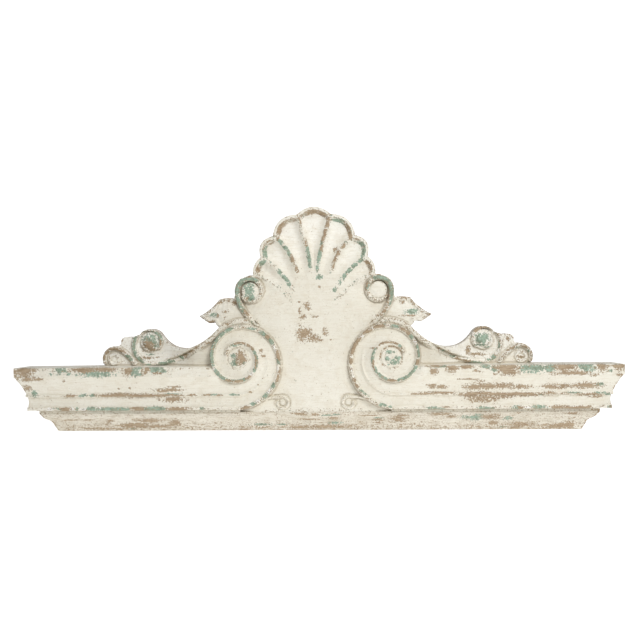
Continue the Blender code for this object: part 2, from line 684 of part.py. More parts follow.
def button_lines():
    """Rings of the round buttons"""
    lines = []
    for centre, radius in ((EAR_CENTRE, EAR_DISC_RADIUS), (SCROLL_CENTRE, SCROLL_DISC_RADIUS),
                           (SCROLL_CENTRE, SCROLL_DOME_RADIUS), (CURL_EYE, CURL_RING_RADIUS),
                           (CURL_EYE, CURL_EYE_RADIUS)):
        reaches = (radius * DOME_RING_SHARE, radius * BUTTON_RING_SHARE, radius + WALL)
        lines += [arc(on_cornice(centre), reach, 0, 360, RING_POINTS) for reach in reaches]
    reaches = (TENDRIL_DISC_RADIUS * DOME_RING_SHARE, TENDRIL_DISC_RADIUS + WALL)
    return lines + [arc(TENDRIL_CENTRE, reach, 0, 360, SMALL_RING_POINTS) for reach in reaches]


def above_foot(line):
    """Points above the joint with the bed moulding"""
    return line[:, 1] > JOINT_HEIGHT + CLEARANCE


def above_cornice(line):
    """Points clear of the top of the cornice"""
    return line[:, 1] > CORNICE_HEIGHT + 2 * CREASE


def beyond_volute(line):
    """Points outside the big volute's first turn"""
    turn, radius = volute_place(line)
    return radius > volute_radius(np.where(turn > 0.5, turn, 1)) + CLEARANCE


def runs_of(line, keep):
    """The stretches of a line whose points are kept"""
    runs, run = [], []
    for point, kept in zip(line, keep):
        if kept:
            run.append(point)
        elif run:
            runs.append(np.array(run))
            run = []
    return runs + [np.array(run)] if run else runs


def fold_lines(strands, outline):
    """Every fold, cut back where a band or a button lies over it or it leaves the outline"""
    closed = np.concatenate((outline, outline[:1]))
    corners = {tuple(np.round(point, 5)) for point in outline}
    rim, ear, side, curl, thin = strands
    body = body_polygon(rim, ear)

    groups = (
        (cornice_lines(), (rim,), beyond_volute),
        (shell_lines(), (ear, side, rim), lambda line: inside(body, line)),
        (leaf_lines(), (side, ear), lambda line: ~inside(body, line)),
        (volute_lines(), (side, ear, rim), lambda line: line[:, 1] > SOFFIT_HEIGHT),
        (thin.lines(), (rim,), above_foot),
        (side.lines(), (curl, ear, rim), above_cornice),
        (curl.lines(), (), above_cornice),
        (ear.lines(), (rim,), above_cornice),
        (rim.lines(), (), above_foot),
        (button_lines(), (), above_foot),
    )
    result = []
    for lines, covers, allowed in groups:
        for line in lines:
            tied = np.array([tuple(np.round(point, 5)) in corners for point in line])
            keep = inside(outline, line) & (nearest(closed, line)[0] > CLEARANCE) | tied
            keep &= allowed(line)
            for strand in covers:
                keep &= strand.cover(line)[0] < BURIED
            result += [run for run in runs_of(line, keep) if len(run) > 1]
    return result


def field_points(outline, lines):
    """A loose grid over the open ground, clear of the folds"""
    known = np.concatenate((outline, *lines))
    across = np.arange(FIELD_GRID / 2, FIELD_REACH, FIELD_GRID)
    up = np.arange(JOINT_HEIGHT, CORNICE_HEIGHT + SHELL_TOP, FIELD_ROW)
    grid = np.array([(x, z) for z in up for x in across])
    grid = grid[inside(outline, grid)]
    gaps = [np.hypot(*(known - point).T).min() for point in grid]
    return grid[np.array(gaps) > FIELD_CLEAR]


# Solids

def carved_half(name, collection):
    """Right half of the carved crown, open at the centre line"""
    rim, ear, side, curl, thin = volute_rim(), ear_rim(), side_strand(), curl_rim(), tendril()
    strands = (rim, ear, side, curl, thin)
    crest = crest_outline()
    middle = np.arange(CORNICE_HEIGHT + SHELL_TOP, JOINT_HEIGHT, -FIELD_GRID)[1:-1]
    outline = np.concatenate((crest, [(0, height) for height in middle]))
    lines = fold_lines(strands, outline)
    points, edges = [*outline], [(i, (i + 1) % len(outline)) for i in range(len(outline))]
    for line in lines:
        first = len(points)
        points += [*line]
        edges += [(first + i, first + i + 1) for i in range(len(line) - 1)]
    points += [*field_points(outline, lines)]
    flat, _, faces, *_ = delaunay_2d_cdt([Vector(point) for point in points], edges,
                                         [list(range(len(outline)))], 1, MERGE)
    places = np.array([tuple(point) for point in flat])
    depths = relief(places, strands)
    body = bmesh.new()
    front = [body.verts.new((x, -depth, z)) for (x, z), depth in zip(places, depths)]
    for face in faces:
        body.faces.new([front[i] for i in face])
    rim_edges = [edge for edge in body.edges if edge.is_boundary]
    outer = [edge for edge in rim_edges if max(abs(vert.co.x) for vert in edge.verts) > MERGE]
    back = {}
    for edge in outer:
        start, end = edge.verts
        loop = edge.link_loops[0]
        if loop.vert is not start:
            start, end = end, start
        for vert in (start, end):
            if vert not in back:
                back[vert] = body.verts.new((vert.co.x, 0, vert.co.z))
        body.faces.new((end, start, back[start], back[end]))
    body.faces.ensure_lookup_table()
    backs = [edge for edge in body.edges if edge.is_boundary and all(
        abs(vert.co.y) < MERGE for vert in edge.verts)]
    ends = [vert for vert in back.values() if abs(vert.co.x) < MERGE]
    backs.append(body.edges.new(ends))
    filled = bmesh.ops.triangle_fill(body, use_beauty=True, edges=backs)
    faces = [face for face in filled["geom"] if isinstance(face, bmesh.types.BMFace)]
    for face in faces:
        if face.normal.y < 0:
            face.normal_flip()
    bmesh.ops.triangulate(body, faces=body.faces)
    mesh = bpy.data.meshes.new(name)
    body.to_mesh(mesh)
    body.free()
    piece = bpy.data.objects.new(name, mesh)
    collection.objects.link(piece)
    mirror = piece.modifiers.new("Mirror", "MIRROR")
    mirror.use_axis[0] = True
    mirror.use_clip = True
    mirror.merge_threshold = WELD
    return piece


def paint(piece, colour):
    """Worn cream paint"""
    material = bpy.data.materials.new(piece.name)
    material.use_nodes = True
    shader = material.node_tree.nodes["Principled BSDF"]
    shader.inputs["Base Color"].default_value = (*colour, 1)
    shader.inputs["Roughness"].default_value = PAINT_ROUGHNESS
    piece.data.materials.append(material)


def flat_prism(name, corners, length, collection):
    """A closed outline drawn in XY and given a thickness, as a mesh"""
    curve = bpy.data.curves.new(name, "CURVE")
    curve.dimensions = "2D"
    curve.fill_mode = "BOTH"
    curve.extrude = length / 2
    spline = curve.splines.new("POLY")
    spline.points.add(len(corners) - 1)
    for point, corner in zip(spline.points, corners):
        point.co = (*corner, 0, 1)
    spline.use_cyclic_u = True
    drawn = bpy.data.objects.new(name, curve)
    collection.objects.link(drawn)
    bpy.context.view_layer.update()
    mesh = bpy.data.meshes.new_from_object(drawn.evaluated_get(
        bpy.context.evaluated_depsgraph_get()))
    bpy.data.objects.remove(drawn)
    shape = bmesh.new()
    shape.from_mesh(mesh)
    bmesh.ops.remove_doubles(shape, verts=shape.verts, dist=WELD)
    shape.to_mesh(mesh)
    shape.free()
    prism = bpy.data.objects.new(name, mesh)
    collection.objects.link(prism)
    return prism


def bed_moulding(collection, cutters):
    """The run of bed moulding, its ends returned to the wall by a second run that cuts it"""
    profile = bed_profile()
    run = flat_prism("Bed_Moulding", [(-depth, height) for depth, height in profile],
                     LENGTH, collection)
    run.rotation_euler = (math.pi / 2, 0, math.pi / 2)
    faces = [(END_X + depth, height) for depth, height in profile[1:-1]]
    spare = BED_TOP_FILLET
    right = [(faces[0][0], -spare), *faces, (faces[-1][0], faces[-1][1] + spare)]
    ends = right + [(-x, height) for x, height in reversed(right)]
    returns = flat_prism("Bed_Returns", ends, 4 * TOP_DEPTH, cutters)
    returns.rotation_euler = (math.pi / 2, 0, 0)
    returns.hide_render = True
    returns.display_type = "WIRE"
    cut = run.modifiers.new("Returns", "BOOLEAN")
    cut.operation = "INTERSECT"
    cut.object = returns
    cut.solver = "EXACT"
    return run


def main():
    """Clear the scene and build the pediment"""
    for item in list(bpy.data.objects):
        bpy.data.objects.remove(item, do_unlink=True)
    parts = bpy.data.collections.new("Door_Pediment")
    cutters = bpy.data.collections.new("Cutters")
    for collection in (parts, cutters):
        bpy.context.scene.collection.children.link(collection)
    wall = bpy.data.objects.new("Wall_Face", None)
    wall.location.z = -CORNICE_HEIGHT / 2
    parts.objects.link(wall)
    crown = carved_half("Carved_Crown", parts)
    paint(crown, PAINT)
    bed = bed_moulding(parts, cutters)
    paint(bed, BED_PAINT)
    for item in (crown, bed, *cutters.objects):
        item.parent = wall


main()
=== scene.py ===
import math
import bpy
import numpy as np
from mathutils import Matrix, Vector
from mathutils.geometry import delaunay_2d_cdt
from mathutils.kdtree import KDTree


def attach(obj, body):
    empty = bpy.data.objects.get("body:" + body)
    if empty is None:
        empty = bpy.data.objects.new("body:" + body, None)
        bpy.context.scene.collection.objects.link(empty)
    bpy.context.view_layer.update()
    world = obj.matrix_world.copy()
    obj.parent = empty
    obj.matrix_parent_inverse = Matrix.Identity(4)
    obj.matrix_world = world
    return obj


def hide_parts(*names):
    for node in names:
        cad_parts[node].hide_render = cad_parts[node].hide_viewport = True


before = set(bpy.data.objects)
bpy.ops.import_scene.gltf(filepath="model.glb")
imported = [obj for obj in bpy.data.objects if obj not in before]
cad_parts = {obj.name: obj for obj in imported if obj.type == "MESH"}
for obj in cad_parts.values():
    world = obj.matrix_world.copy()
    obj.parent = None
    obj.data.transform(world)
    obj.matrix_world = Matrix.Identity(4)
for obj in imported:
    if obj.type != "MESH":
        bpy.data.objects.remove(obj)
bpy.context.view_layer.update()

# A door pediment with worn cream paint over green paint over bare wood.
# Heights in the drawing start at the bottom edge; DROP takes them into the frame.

# Overall sizes of the cornice
LENGTH = 1.524
CORNICE_HEIGHT = 0.170
TOP_DEPTH = 0.105
JOINT_GAP = 0.0003

# Crown moulding, from the joint with the bed moulding upward
JOINT_HEIGHT = 0.052
BAND_DEPTH = 0.058
SOFFIT_HEIGHT = 0.059
FILLET_DEPTH = 0.0805
FILLET_HEIGHT = 0.0095
FASCIA_DEPTH = 0.0785
FASCIA_DISH = 0.0010
BEAD_DEPTH = 0.0835
BEAD_FOOT = 0.0930
BEAD_TOP = 0.1030
BEAD_ROUND = 0.0020
COVE_SAG = 0.0014
TOP_BAND_HEIGHT = 0.0245
TOP_BAND_STEP = 0.0012

# Bed moulding, from the bottom edge upward
BED_FOOT_DEPTH = 0.0210
BED_FILLET_DEPTH = 0.0275
BED_FILLET_HEIGHT = 0.0135
BED_STEP = 0.0010
BED_MIDDLE_DEPTH = 0.0380
BED_MIDDLE_HEIGHT = 0.0300
BED_UPPER_DEPTH = 0.0535
BED_UPPER_HEIGHT = 0.0445
BED_BULGE = 0.0018
BED_TOP_FILLET = 0.0040

# Carved board and field
BOARD_DEPTH = 0.034
BOARD_NECK_DEPTH = 0.080
BOARD_NECK_X = (0.285, 0.405)
SPANDREL_STEP = 0.007
FIELD_SWELL = 0.020

# Big volutes, their rims rising forward as they wind in
VOLUTE_X = 0.192
VOLUTE_RADIUS = 0.1265
VOLUTE_DECAY = 0.80
VOLUTE_FLAT = 0.006
VOLUTE_TURNS = 1.68
VOLUTE_END_FADE = 0.30
VOLUTE_END_WIDTH = 0.0064
VOLUTE_RISE = ((0.0, FILLET_DEPTH), (0.5, 0.092), (1.0, 0.104), (1.68, 0.102))
VOLUTE_DISH = 0.009
VOLUTE_DISH_EDGE = 0.0036
VOLUTE_ENTRY = 0.20
VOLUTE_BEAD = 0.004
VOLUTE_BEAD_SHARE = 0.48
VOLUTE_BEAD_SPREAD = 0.10
VOLUTE_BEAD_TURNS = (0.15, 0.35)
RUN_OUT_WIDTH = 0.020
RUN_OUT_DEPTH = 0.007
COLLAR_REACH = 0.010
EYE_DISC_RADIUS = 0.0265
EYE_DISC_RISE = 0.004
EYE_DISC_WALL = 0.003
EYE_DISH_WALL = 0.012
EYE_DOME_RADIUS = 0.0165
EYE_DOME_RISE = 0.006

# Shell at the top, heights above the cornice
SHELL_TOP = 0.404
SHELL_CUSPS = ((0.0435, 0.3845), (0.1045, 0.3295), (0.1355, 0.2750), (0.1545, 0.2310))
SHELL_BULGES = (0.0175, 0.0165, 0.0070)
SHELL_RIDGE_PULLS = ((0.0170, 0.3050), (0.0640, 0.3060), (0.0900, 0.2520), (0.0960, 0.2130))
SHELL_RIDGE_ROOTS = ((0.0070, 0.2380), (0.0430, 0.2380), (0.0520, 0.1900), (0.0560, 0.1640))
SHELL_RIM = 0.0085
SHELL_RIM_WALL = 0.0070
SHELL_RIDGE = 0.0030
SHELL_HOLLOW = 0.0130
SHELL_FLUTE = 0.0200
SHELL_FADE = (0.205, 0.290)
SHELL_SPREAD = 1.2

# Ear scrolls beside the shell, heights above the cornice
EAR_CENTRE = (0.1615, 0.1900)
EAR_RADIUS = 0.0398
EAR_DECAY = 0.36
EAR_TURNS = (0.20, 1.14)
EAR_ARC = (-12, 96)
EAR_FOOT_TURN = 0.417
EAR_FOOT_GAP = 0.0093
EAR_PULL = (0.1900, 0.1420)
EAR_HALF_WIDTHS = (0.0058, 0.0040)
EAR_RISE = 0.008
EAR_RISE_SHARE = 0.25
EAR_BED_RADIUS = 0.0300
EAR_BED_RISE = 0.003
EAR_DISC_RADIUS = 0.0215
EAR_DISC_RISE = 0.004

# Leaves, heights above the cornice
LEAF_OUTLINE = ((0.2030, 0.1720, -0.0020), (0.2430, 0.1705, 0.0045), (0.2975, 0.1280, -0.0010),
                (0.2690, 0.1095, 0.0010), (0.2520, 0.1110, -0.0020), (0.2410, 0.0990, 0.0))
LEAF_DEPTHS = (0.080, 0.046)
LEAF_ROOT = (0.1950, 0.1050)
LEAF_REACH = (0.030, 0.120)
LEAF_BORDER = 0.006
LEAF_HOLLOW = 0.006
LEAF_TRUE_SHARE = 0.97

# Side scrolls that sweep from the big volutes to the small ones, heights above the cornice
SCROLL_CENTRE = (0.4290, 0.0625)
SCROLL_RADIUS = 0.0565
SCROLL_DECAY = 1.05
SCROLL_TURNS = 0.86
SCROLL_ARC = (36, 140)
SCROLL_HALF_WIDTHS = (0.0078, 0.0066, 0.0048, 0.0046, 0.0044)
SCROLL_RISE = 0.008
SCROLL_BANK = 0.026
SCROLL_DISH = 0.005
SCROLL_BAND_GAP = 0.0125
SCROLL_BAND_TURNS = (0.43, 0.60)
SCROLL_PULLS = ((0.2900, 0.0390), (0.3600, 0.0065))
SCROLL_DISC_RADIUS = 0.0245
SCROLL_DISC_RISE = 0.004
SCROLL_DOME_RADIUS = 0.0185
SCROLL_DOME_FOOT = 0.006
SCROLL_DOME_RISE = 0.008
HOLLOW_PULLS = ((0.2900, 0.0460), (0.3780, 0.0440))
HOLLOW_LOWEST = (0.3380, 0.0450)
BUD_CORNERS = ((0.4560, 0.0820, 0.0010), (0.4800, 0.0750, -0.0015), (0.5000, 0.0740, -0.0030),
               (0.5060, 0.0590, 0.0010), (0.5140, 0.0520, 0.0))

# Curls at the ends of the crest, heights above the cornice
CURL_CENTRE = (0.5200, 0.0190)
CURL_RADIUS = 0.0330
CURL_ARC = (-33, 98)
CURL_RIM_ARC = (95, -20)
CURL_TAIL = (0.4690, 0.0060)
CURL_PULL = (0.4950, 0.0400)
CURL_HALF_WIDTH = 0.0042
CURL_EYE = (0.5240, 0.0180)
CURL_RING_RADIUS = 0.0155
CURL_RING_RISE = 0.006
CURL_EYE_RADIUS = 0.0080
CURL_EYE_RISE = 0.003
CURL_FRONT = 0.045

# Tendrils under the big volutes
TENDRIL_CENTRE = (0.0845, 0.0750)
TENDRIL_RADII = (0.0170, 0.0120)
TENDRIL_ARC = (60, 370)
TENDRIL_FOOT_TURN = 0.06
TENDRIL_PULL = (0.1150, 0.0930)
TENDRIL_HALF_WIDTH = 0.0028
TENDRIL_RISE = 0.0060
TENDRIL_RISE_SHARE = 0.33
TENDRIL_DISC_RADIUS = 0.0065
TENDRIL_DISC_RISE = 0.0025

# How the relief is drawn
WALL = 0.0020
STRAND_CROWN = 0.0024
CREASE = 0.0006
MERGE = 0.0003
CLEARANCE = 0.0012
BURIED = 0.02
CHANNEL_SHARES = (0.25, 0.75)
DOME_RING_SHARE = 0.6
BUTTON_RING_SHARE = 0.95
FIELD_GRID = 0.0021
FIELD_ROW = 0.0018
CAP_POINTS = 11
BULGE_POINTS = 21
LOBE_POINTS = 31
TOP_LOBE_POINTS = 61
RIDGE_POINTS = 61
LEAF_POINTS = 21
HOLLOW_POINTS = 41
BAND_POINTS = 40
SWEEP_POINTS = 70
STEM_POINTS = 40
CURL_POINTS = 110
SMALL_CURL_POINTS = 60
RIM_POINTS = 220
CHANNEL_POINTS = 150
RING_POINTS = 61
SMALL_RING_POINTS = 41
MOULDING_POINTS = 190

TOP_BAND_FOOT = CORNICE_HEIGHT - TOP_BAND_HEIGHT
END_X = LENGTH / 2 - TOP_DEPTH
VOLUTE = np.array((VOLUTE_X, SOFFIT_HEIGHT + FILLET_HEIGHT / 2 + VOLUTE_RADIUS))


# Drawing helpers

def on_cornice(point):
    """A crest point, given by its height above the cornice"""
    return np.array((point[0], point[1] + CORNICE_HEIGHT))


def arc(centre, radius, start, end, count):
    """Points on an arc, angles in degrees anticlockwise from +X"""
    angles = np.radians(np.linspace(start, end, count))
    return np.stack((centre[0] + radius * np.cos(angles), centre[1] + radius * np.sin(angles)), 1)


def bulged(start, end, rise, count):
    """An arc between two points that stands out to the right of the way by its rise"""
    start, end = np.asarray(start), np.asarray(end)
    share = np.linspace(0, 1, count)[:, None]
    across = np.array((end[1] - start[1], start[0] - end[0])) / math.dist(start, end)
    return start + (end - start) * share + across * rise * 4 * share * (1 - share)


def bow(start, pulls, end, count):
    """A Bezier curve with one or two pulling points"""
    points = [np.asarray(start), *(np.asarray(pull) for pull in pulls), np.asarray(end)]
    order = len(points) - 1
    share = np.linspace(0, 1, count)[:, None]
    return sum(math.comb(order, i) * share**i * (1 - share)**(order - i) * point
               for i, point in enumerate(points))


def smooth(value):
    """Ramp from 0 to 1 with level ends"""
    value = np.clip(value, 0, 1)
    return value * value * (3 - 2 * value)


def onset(path, share):
    """Ramp from 0 to 1 over the first share of a path's points"""
    return smooth(np.linspace(0, 1 / share, len(path)))


def nearest(path, points):
    """Distance from each point to a polyline, and the share of its length where that is"""
    step = np.diff(path, axis=0)
    length = np.hypot(step[:, 0], step[:, 1])
    offset = points[:, None] - path[:-1]
    share = np.clip((offset * step).sum(2) / length**2, 0, 1)
    gap = offset - share[..., None] * step
    distance = np.hypot(gap[..., 0], gap[..., 1])
    rows, columns = np.arange(len(points)), distance.argmin(1)
    run = np.concatenate(((0,), np.cumsum(length)))
    along = run[columns] + share[rows, columns] * length[columns]
    return distance[rows, columns], along / run[-1]


def inside(polygon, points):
    """Whether each point lies in a closed polygon"""
    result = np.zeros(len(points), bool)
    for start, end in zip(polygon, np.roll(polygon, -1, axis=0)):
        if start[1] == end[1]:
            continue
        spans = (start[1] > points[:, 1]) != (end[1] > points[:, 1])
        crossing = start[0] + (points[:, 1] - start[1]) * (end[0] - start[0]) / (end[1] - start[1])
        result ^= spans & (points[:, 0] < crossing)
    return result


def beside(path, offset):
    """The path moved sideways, to its left where the offset is positive"""
    way = np.gradient(path, axis=0)
    way /= np.hypot(way[:, 0], way[:, 1])[:, None]
    return path + np.stack((-way[:, 1], way[:, 0]), 1) * np.reshape(offset, (-1, 1))


def around(path, offset):
    """A closed line around a path at a distance, with round ends"""
    offset = np.broadcast_to(offset, len(path))
    left, right = beside(path, offset), beside(path, -offset)
    caps = []
    for end, before, reach in ((path[-1], path[-2], offset[-1]), (path[0], path[1], offset[0])):
        heading = math.degrees(math.atan2(*(end - before)[::-1]))
        caps.append(arc(end, reach, heading + 90, heading - 90, CAP_POINTS)[1:-1])
    loop = np.concatenate((left, caps[0], right[::-1], caps[1]))
    return np.concatenate((loop, loop[:1]))


class Strand:
    """A raised band with a flat top that follows a path"""

    def __init__(self, path, half_widths, fronts):
        self.path = path
        self.half_widths = half_widths
        self.fronts = np.asarray(fronts)

    def half(self, along):
        """Half the width at a share of the length"""
        return np.interp(along, np.linspace(0, 1, len(self.half_widths)), self.half_widths)

    def front(self, along):
        """Depth of the top at a share of the length"""
        return np.interp(along, np.linspace(0, 1, len(self.fronts)), self.fronts)

    def cover(self, points):
        """How far each point is under the band, from 0 to 1, and the band's front there"""
        distance, along = nearest(self.path, points)
        half = self.half(along)
        crown = STRAND_CROWN * np.clip(distance / half, 0, 1)**2
        return 1 - np.clip((distance - half) / WALL, 0, 1), self.front(along) - crown

    def lines(self):
        """The edges of the top and the feet of the walls"""
        half = self.half(np.linspace(0, 1, len(self.path)))
        return [around(self.path, half), around(self.path, half + WALL)]


# Mouldings

def crown_profile():
    """Depth and height down to up, along the front of the crown moulding"""
    fascia_middle = (SOFFIT_HEIGHT + FILLET_HEIGHT + BEAD_FOOT) / 2
    cove = bulged((BEAD_DEPTH - TOP_BAND_STEP, BEAD_TOP),
                  (TOP_DEPTH - TOP_BAND_STEP, TOP_BAND_FOOT), -COVE_SAG, BULGE_POINTS)
    return np.array([
        (BAND_DEPTH, JOINT_HEIGHT),
        (BAND_DEPTH, SOFFIT_HEIGHT),
        (FILLET_DEPTH, SOFFIT_HEIGHT + CREASE),
        (FILLET_DEPTH, SOFFIT_HEIGHT + FILLET_HEIGHT),
        (FASCIA_DEPTH, SOFFIT_HEIGHT + FILLET_HEIGHT + CREASE),
        (FASCIA_DEPTH - FASCIA_DISH, fascia_middle),
        (FASCIA_DEPTH, BEAD_FOOT),
        (BEAD_DEPTH, BEAD_FOOT + BEAD_ROUND),
        (BEAD_DEPTH, BEAD_TOP - BEAD_ROUND),
        *cove,
        (TOP_DEPTH, TOP_BAND_FOOT + CREASE),
        (TOP_DEPTH, CORNICE_HEIGHT),
    ])


def bed_profile():
    """Depth and height around the section of the bed moulding, drawn from the wall"""
    top = JOINT_HEIGHT - JOINT_GAP
    middle = bulged((BED_FILLET_DEPTH + BED_STEP, BED_FILLET_HEIGHT + CREASE),
                    (BED_MIDDLE_DEPTH, BED_MIDDLE_HEIGHT), -BED_BULGE, BULGE_POINTS)
    upper = bulged((BED_MIDDLE_DEPTH + BED_STEP, BED_MIDDLE_HEIGHT + CREASE),
                   (BED_UPPER_DEPTH, BED_UPPER_HEIGHT), BED_BULGE, BULGE_POINTS)
    return [(0, 0), (BED_FOOT_DEPTH, 0), (BED_FILLET_DEPTH, BED_FILLET_HEIGHT), *middle, *upper,
            (BED_UPPER_DEPTH + BED_STEP, BED_UPPER_HEIGHT + CREASE),
            (BAND_DEPTH - BED_STEP, top - BED_TOP_FILLET), (BAND_DEPTH - BED_STEP, top), (0, top)]


# Paths of the carving

def volute_radius(turn):
    """Radius of the big volute's rim, turns counted from straight down towards the centre line"""
    flat = VOLUTE_FLAT * np.sin(math.pi * np.minimum(turn, 1))**2
    return VOLUTE_RADIUS * np.exp(-VOLUTE_DECAY * turn) - flat


def volute_point(turn, gap=0.0):
    """A point on the big volute's rim, or at a gap outside it"""
    turn = np.asarray(turn)
    radius = volute_radius(turn) + gap
    angle = 2 * math.pi * turn
    return VOLUTE + np.stack((-radius * np.sin(angle), -radius * np.cos(angle)), -1)


def turn_radii(turn):
    """Radii of the rim's first turn and of its second, which ends at the eye"""
    return volute_radius(turn), np.maximum(volute_radius(turn + 1), volute_radius(VOLUTE_TURNS))


def volute_rim():
    """The rim of the big volute, which leaves the lower fillet"""
    turns = np.linspace(0, VOLUTE_TURNS, RIM_POINTS)
    fronts = np.interp(turns, *zip(*VOLUTE_RISE))
    return Strand(volute_point(turns), (FILLET_HEIGHT / 2, VOLUTE_END_WIDTH / 2), fronts)


def spiral(centre, radius, decay, start, end, count):
    """A scroll that winds anticlockwise, turns counted from straight down"""
    turns = np.linspace(start, end, count)
    reach = radius * np.exp(-decay * (turns - start))
    angle = 2 * math.pi * turns
    return centre + np.stack((reach * np.sin(angle), -reach * np.cos(angle)), 1)


def ear_rim():
    """The strand that climbs from the big volute and curls beside the shell"""
    reach = EAR_RADIUS - EAR_HALF_WIDTHS[0]
    curl = spiral(on_cornice(EAR_CENTRE), reach, EAR_DECAY, *EAR_TURNS, CURL_POINTS)
    foot = volute_point(EAR_FOOT_TURN, EAR_FOOT_GAP)
    stem = bow(foot, (on_cornice(EAR_PULL),), curl[0], STEM_POINTS)[:-1]
    path = np.concatenate((stem, curl))
    rise = EAR_RISE * onset(path, EAR_RISE_SHARE)
    return Strand(path, EAR_HALF_WIDTHS, field_depth(path) + rise)


def side_strand():
    """The band over the big volute that sweeps down and round the small one"""
    band = volute_point(np.linspace(*SCROLL_BAND_TURNS, BAND_POINTS), SCROLL_BAND_GAP)
    curl = spiral(on_cornice(SCROLL_CENTRE), SCROLL_RADIUS, SCROLL_DECAY, 0, SCROLL_TURNS,
                  CURL_POINTS)
    pulls = [on_cornice(pull) for pull in SCROLL_PULLS]
    sweep = bow(band[-1], pulls, curl[0], SWEEP_POINTS)[1:-1]
    path = np.concatenate((band, sweep, curl))
    return Strand(path, SCROLL_HALF_WIDTHS, board_depth(path) + SCROLL_RISE)


def curl_rim():
    """The strand of the small curl at the end of the crest"""
    reach = CURL_RADIUS - CURL_HALF_WIDTH
    head = arc(on_cornice(CURL_CENTRE), reach, *CURL_RIM_ARC, SMALL_CURL_POINTS)
    tail = bow(on_cornice(CURL_TAIL), (on_cornice(CURL_PULL),), head[0], STEM_POINTS)[:-1]
    path = np.concatenate((tail, head))
    return Strand(path, (CURL_HALF_WIDTH, CURL_HALF_WIDTH), (CURL_FRONT, CURL_FRONT))


def tendril():
    """The thin tendril that leaves the foot of the volute and curls on the field"""
    angles = np.radians(np.linspace(*TENDRIL_ARC, SMALL_CURL_POINTS))
    reach = np.linspace(*TENDRIL_RADII, SMALL_CURL_POINTS)
    curl = TENDRIL_CENTRE + np.stack((reach * np.cos(angles), reach * np.sin(angles)), 1)
    foot = volute_point(TENDRIL_FOOT_TURN)
    stem = bow(foot, (TENDRIL_PULL,), curl[0], STEM_POINTS)[:-1]
    path = np.concatenate((stem, curl))
    rise = TENDRIL_RISE * onset(path, TENDRIL_RISE_SHARE)
    return Strand(path, (TENDRIL_HALF_WIDTH, TENDRIL_HALF_WIDTH), field_depth(path) + rise)


def shell_ridges():
    """The ridges between the hollow lobes, from the scalloped edge to the root"""
    return [bow(on_cornice(cusp), (on_cornice(pull),), on_cornice(root), RIDGE_POINTS)
            for cusp, pull, root in zip(SHELL_CUSPS, SHELL_RIDGE_PULLS, SHELL_RIDGE_ROOTS)]


def shell_edge():
    """The scalloped edge of the shell, from the lowest cusp up to the top centre"""
    cusps = [on_cornice(cusp) for cusp in SHELL_CUSPS]
    lobes = [bulged(cusps[i + 1], cusps[i], SHELL_BULGES[i], LOBE_POINTS)[:-1]
             for i in (2, 1, 0)]
    crown = SHELL_TOP + CORNICE_HEIGHT - cusps[0][1]
    top = bulged(cusps[0], cusps[0] * (-1, 1), crown, TOP_LOBE_POINTS)
    top = top[:TOP_LOBE_POINTS // 2 + 1]
    return np.concatenate((*lobes, top))


def chain(corners):
    """Bulged lines from corner to corner, each corner with the rise of the line after it"""
    runs = [bulged(on_cornice(start[:2]), on_cornice(end[:2]), start[2], LEAF_POINTS)[:-1]
            for start, end in zip(corners, corners[1:])]
    return np.concatenate(runs)


def crest_outline():
    """Outline of the right half, anticlockwise from the foot of the centre line"""
    ends = [(END_X + depth, height) for depth, height in crown_profile()]
    scroll = on_cornice(SCROLL_CENTRE)
    reach = math.dist(SCROLL_CENTRE, BUD_CORNERS[0][:2])
    small = arc(scroll, reach, *SCROLL_ARC, SMALL_CURL_POINTS)
    leaf_foot = on_cornice(LEAF_OUTLINE[-1][:2])
    hollow = np.concatenate((
        bow(small[-1], (on_cornice(HOLLOW_PULLS[1]),), on_cornice(HOLLOW_LOWEST),
            HOLLOW_POINTS)[1:-1],
        bow(on_cornice(HOLLOW_LOWEST), (on_cornice(HOLLOW_PULLS[0]),), leaf_foot,
            HOLLOW_POINTS)[:-1]))
    curl = arc(on_cornice(CURL_CENTRE), CURL_RADIUS, *CURL_ARC, SMALL_CURL_POINTS)
    bud = chain(BUD_CORNERS)[:0:-1]
    leaf = np.concatenate((chain(LEAF_OUTLINE), leaf_foot[None]))[::-1]
    ear = arc(on_cornice(EAR_CENTRE), EAR_RADIUS, *EAR_ARC, SMALL_CURL_POINTS)
    return np.concatenate((((0, JOINT_HEIGHT),), ends, curl, bud, small, hollow, leaf, ear,
                           shell_edge()))


# Relief

def field_depth(points):
    """Front of the plain field, which swells between its foot and the top of the shell"""
    share = (points[:, 1] - JOINT_HEIGHT) / (CORNICE_HEIGHT + SHELL_TOP - JOINT_HEIGHT)
    return BAND_DEPTH + FIELD_SWELL * np.sin(math.pi * np.clip(share, 0, 1))


def board_depth(points):
    """Front of the board, which comes forward where the scrolls join the big volutes"""
    neck, board = BOARD_NECK_X
    share = smooth((board - points[:, 0]) / (board - neck))
    return BOARD_DEPTH + (BOARD_NECK_DEPTH - BOARD_DEPTH) * share


def leaf_depth(points):
    """Front of the leaf, which falls back from its root to its tip"""
    reach = np.hypot(*(points - on_cornice(LEAF_ROOT)).T)
    share = smooth((reach - LEAF_REACH[0]) / (LEAF_REACH[1] - LEAF_REACH[0]))
    return LEAF_DEPTHS[0] + (LEAF_DEPTHS[1] - LEAF_DEPTHS[0]) * share


def body_polygon(rim, ear):
    """Outline of the thick middle: field, shell and ears"""
    above = CORNICE_HEIGHT + 2 * SHELL_TOP
    half_turn = rim.path[:RIM_POINTS // 4 + 1]
    climb = ear.path[:STEM_POINTS + CURL_POINTS // 4]
    return np.concatenate((((-LENGTH, 0), (VOLUTE_X, 0)), half_turn, climb,
                           ((LENGTH, above), (-LENGTH, above))))


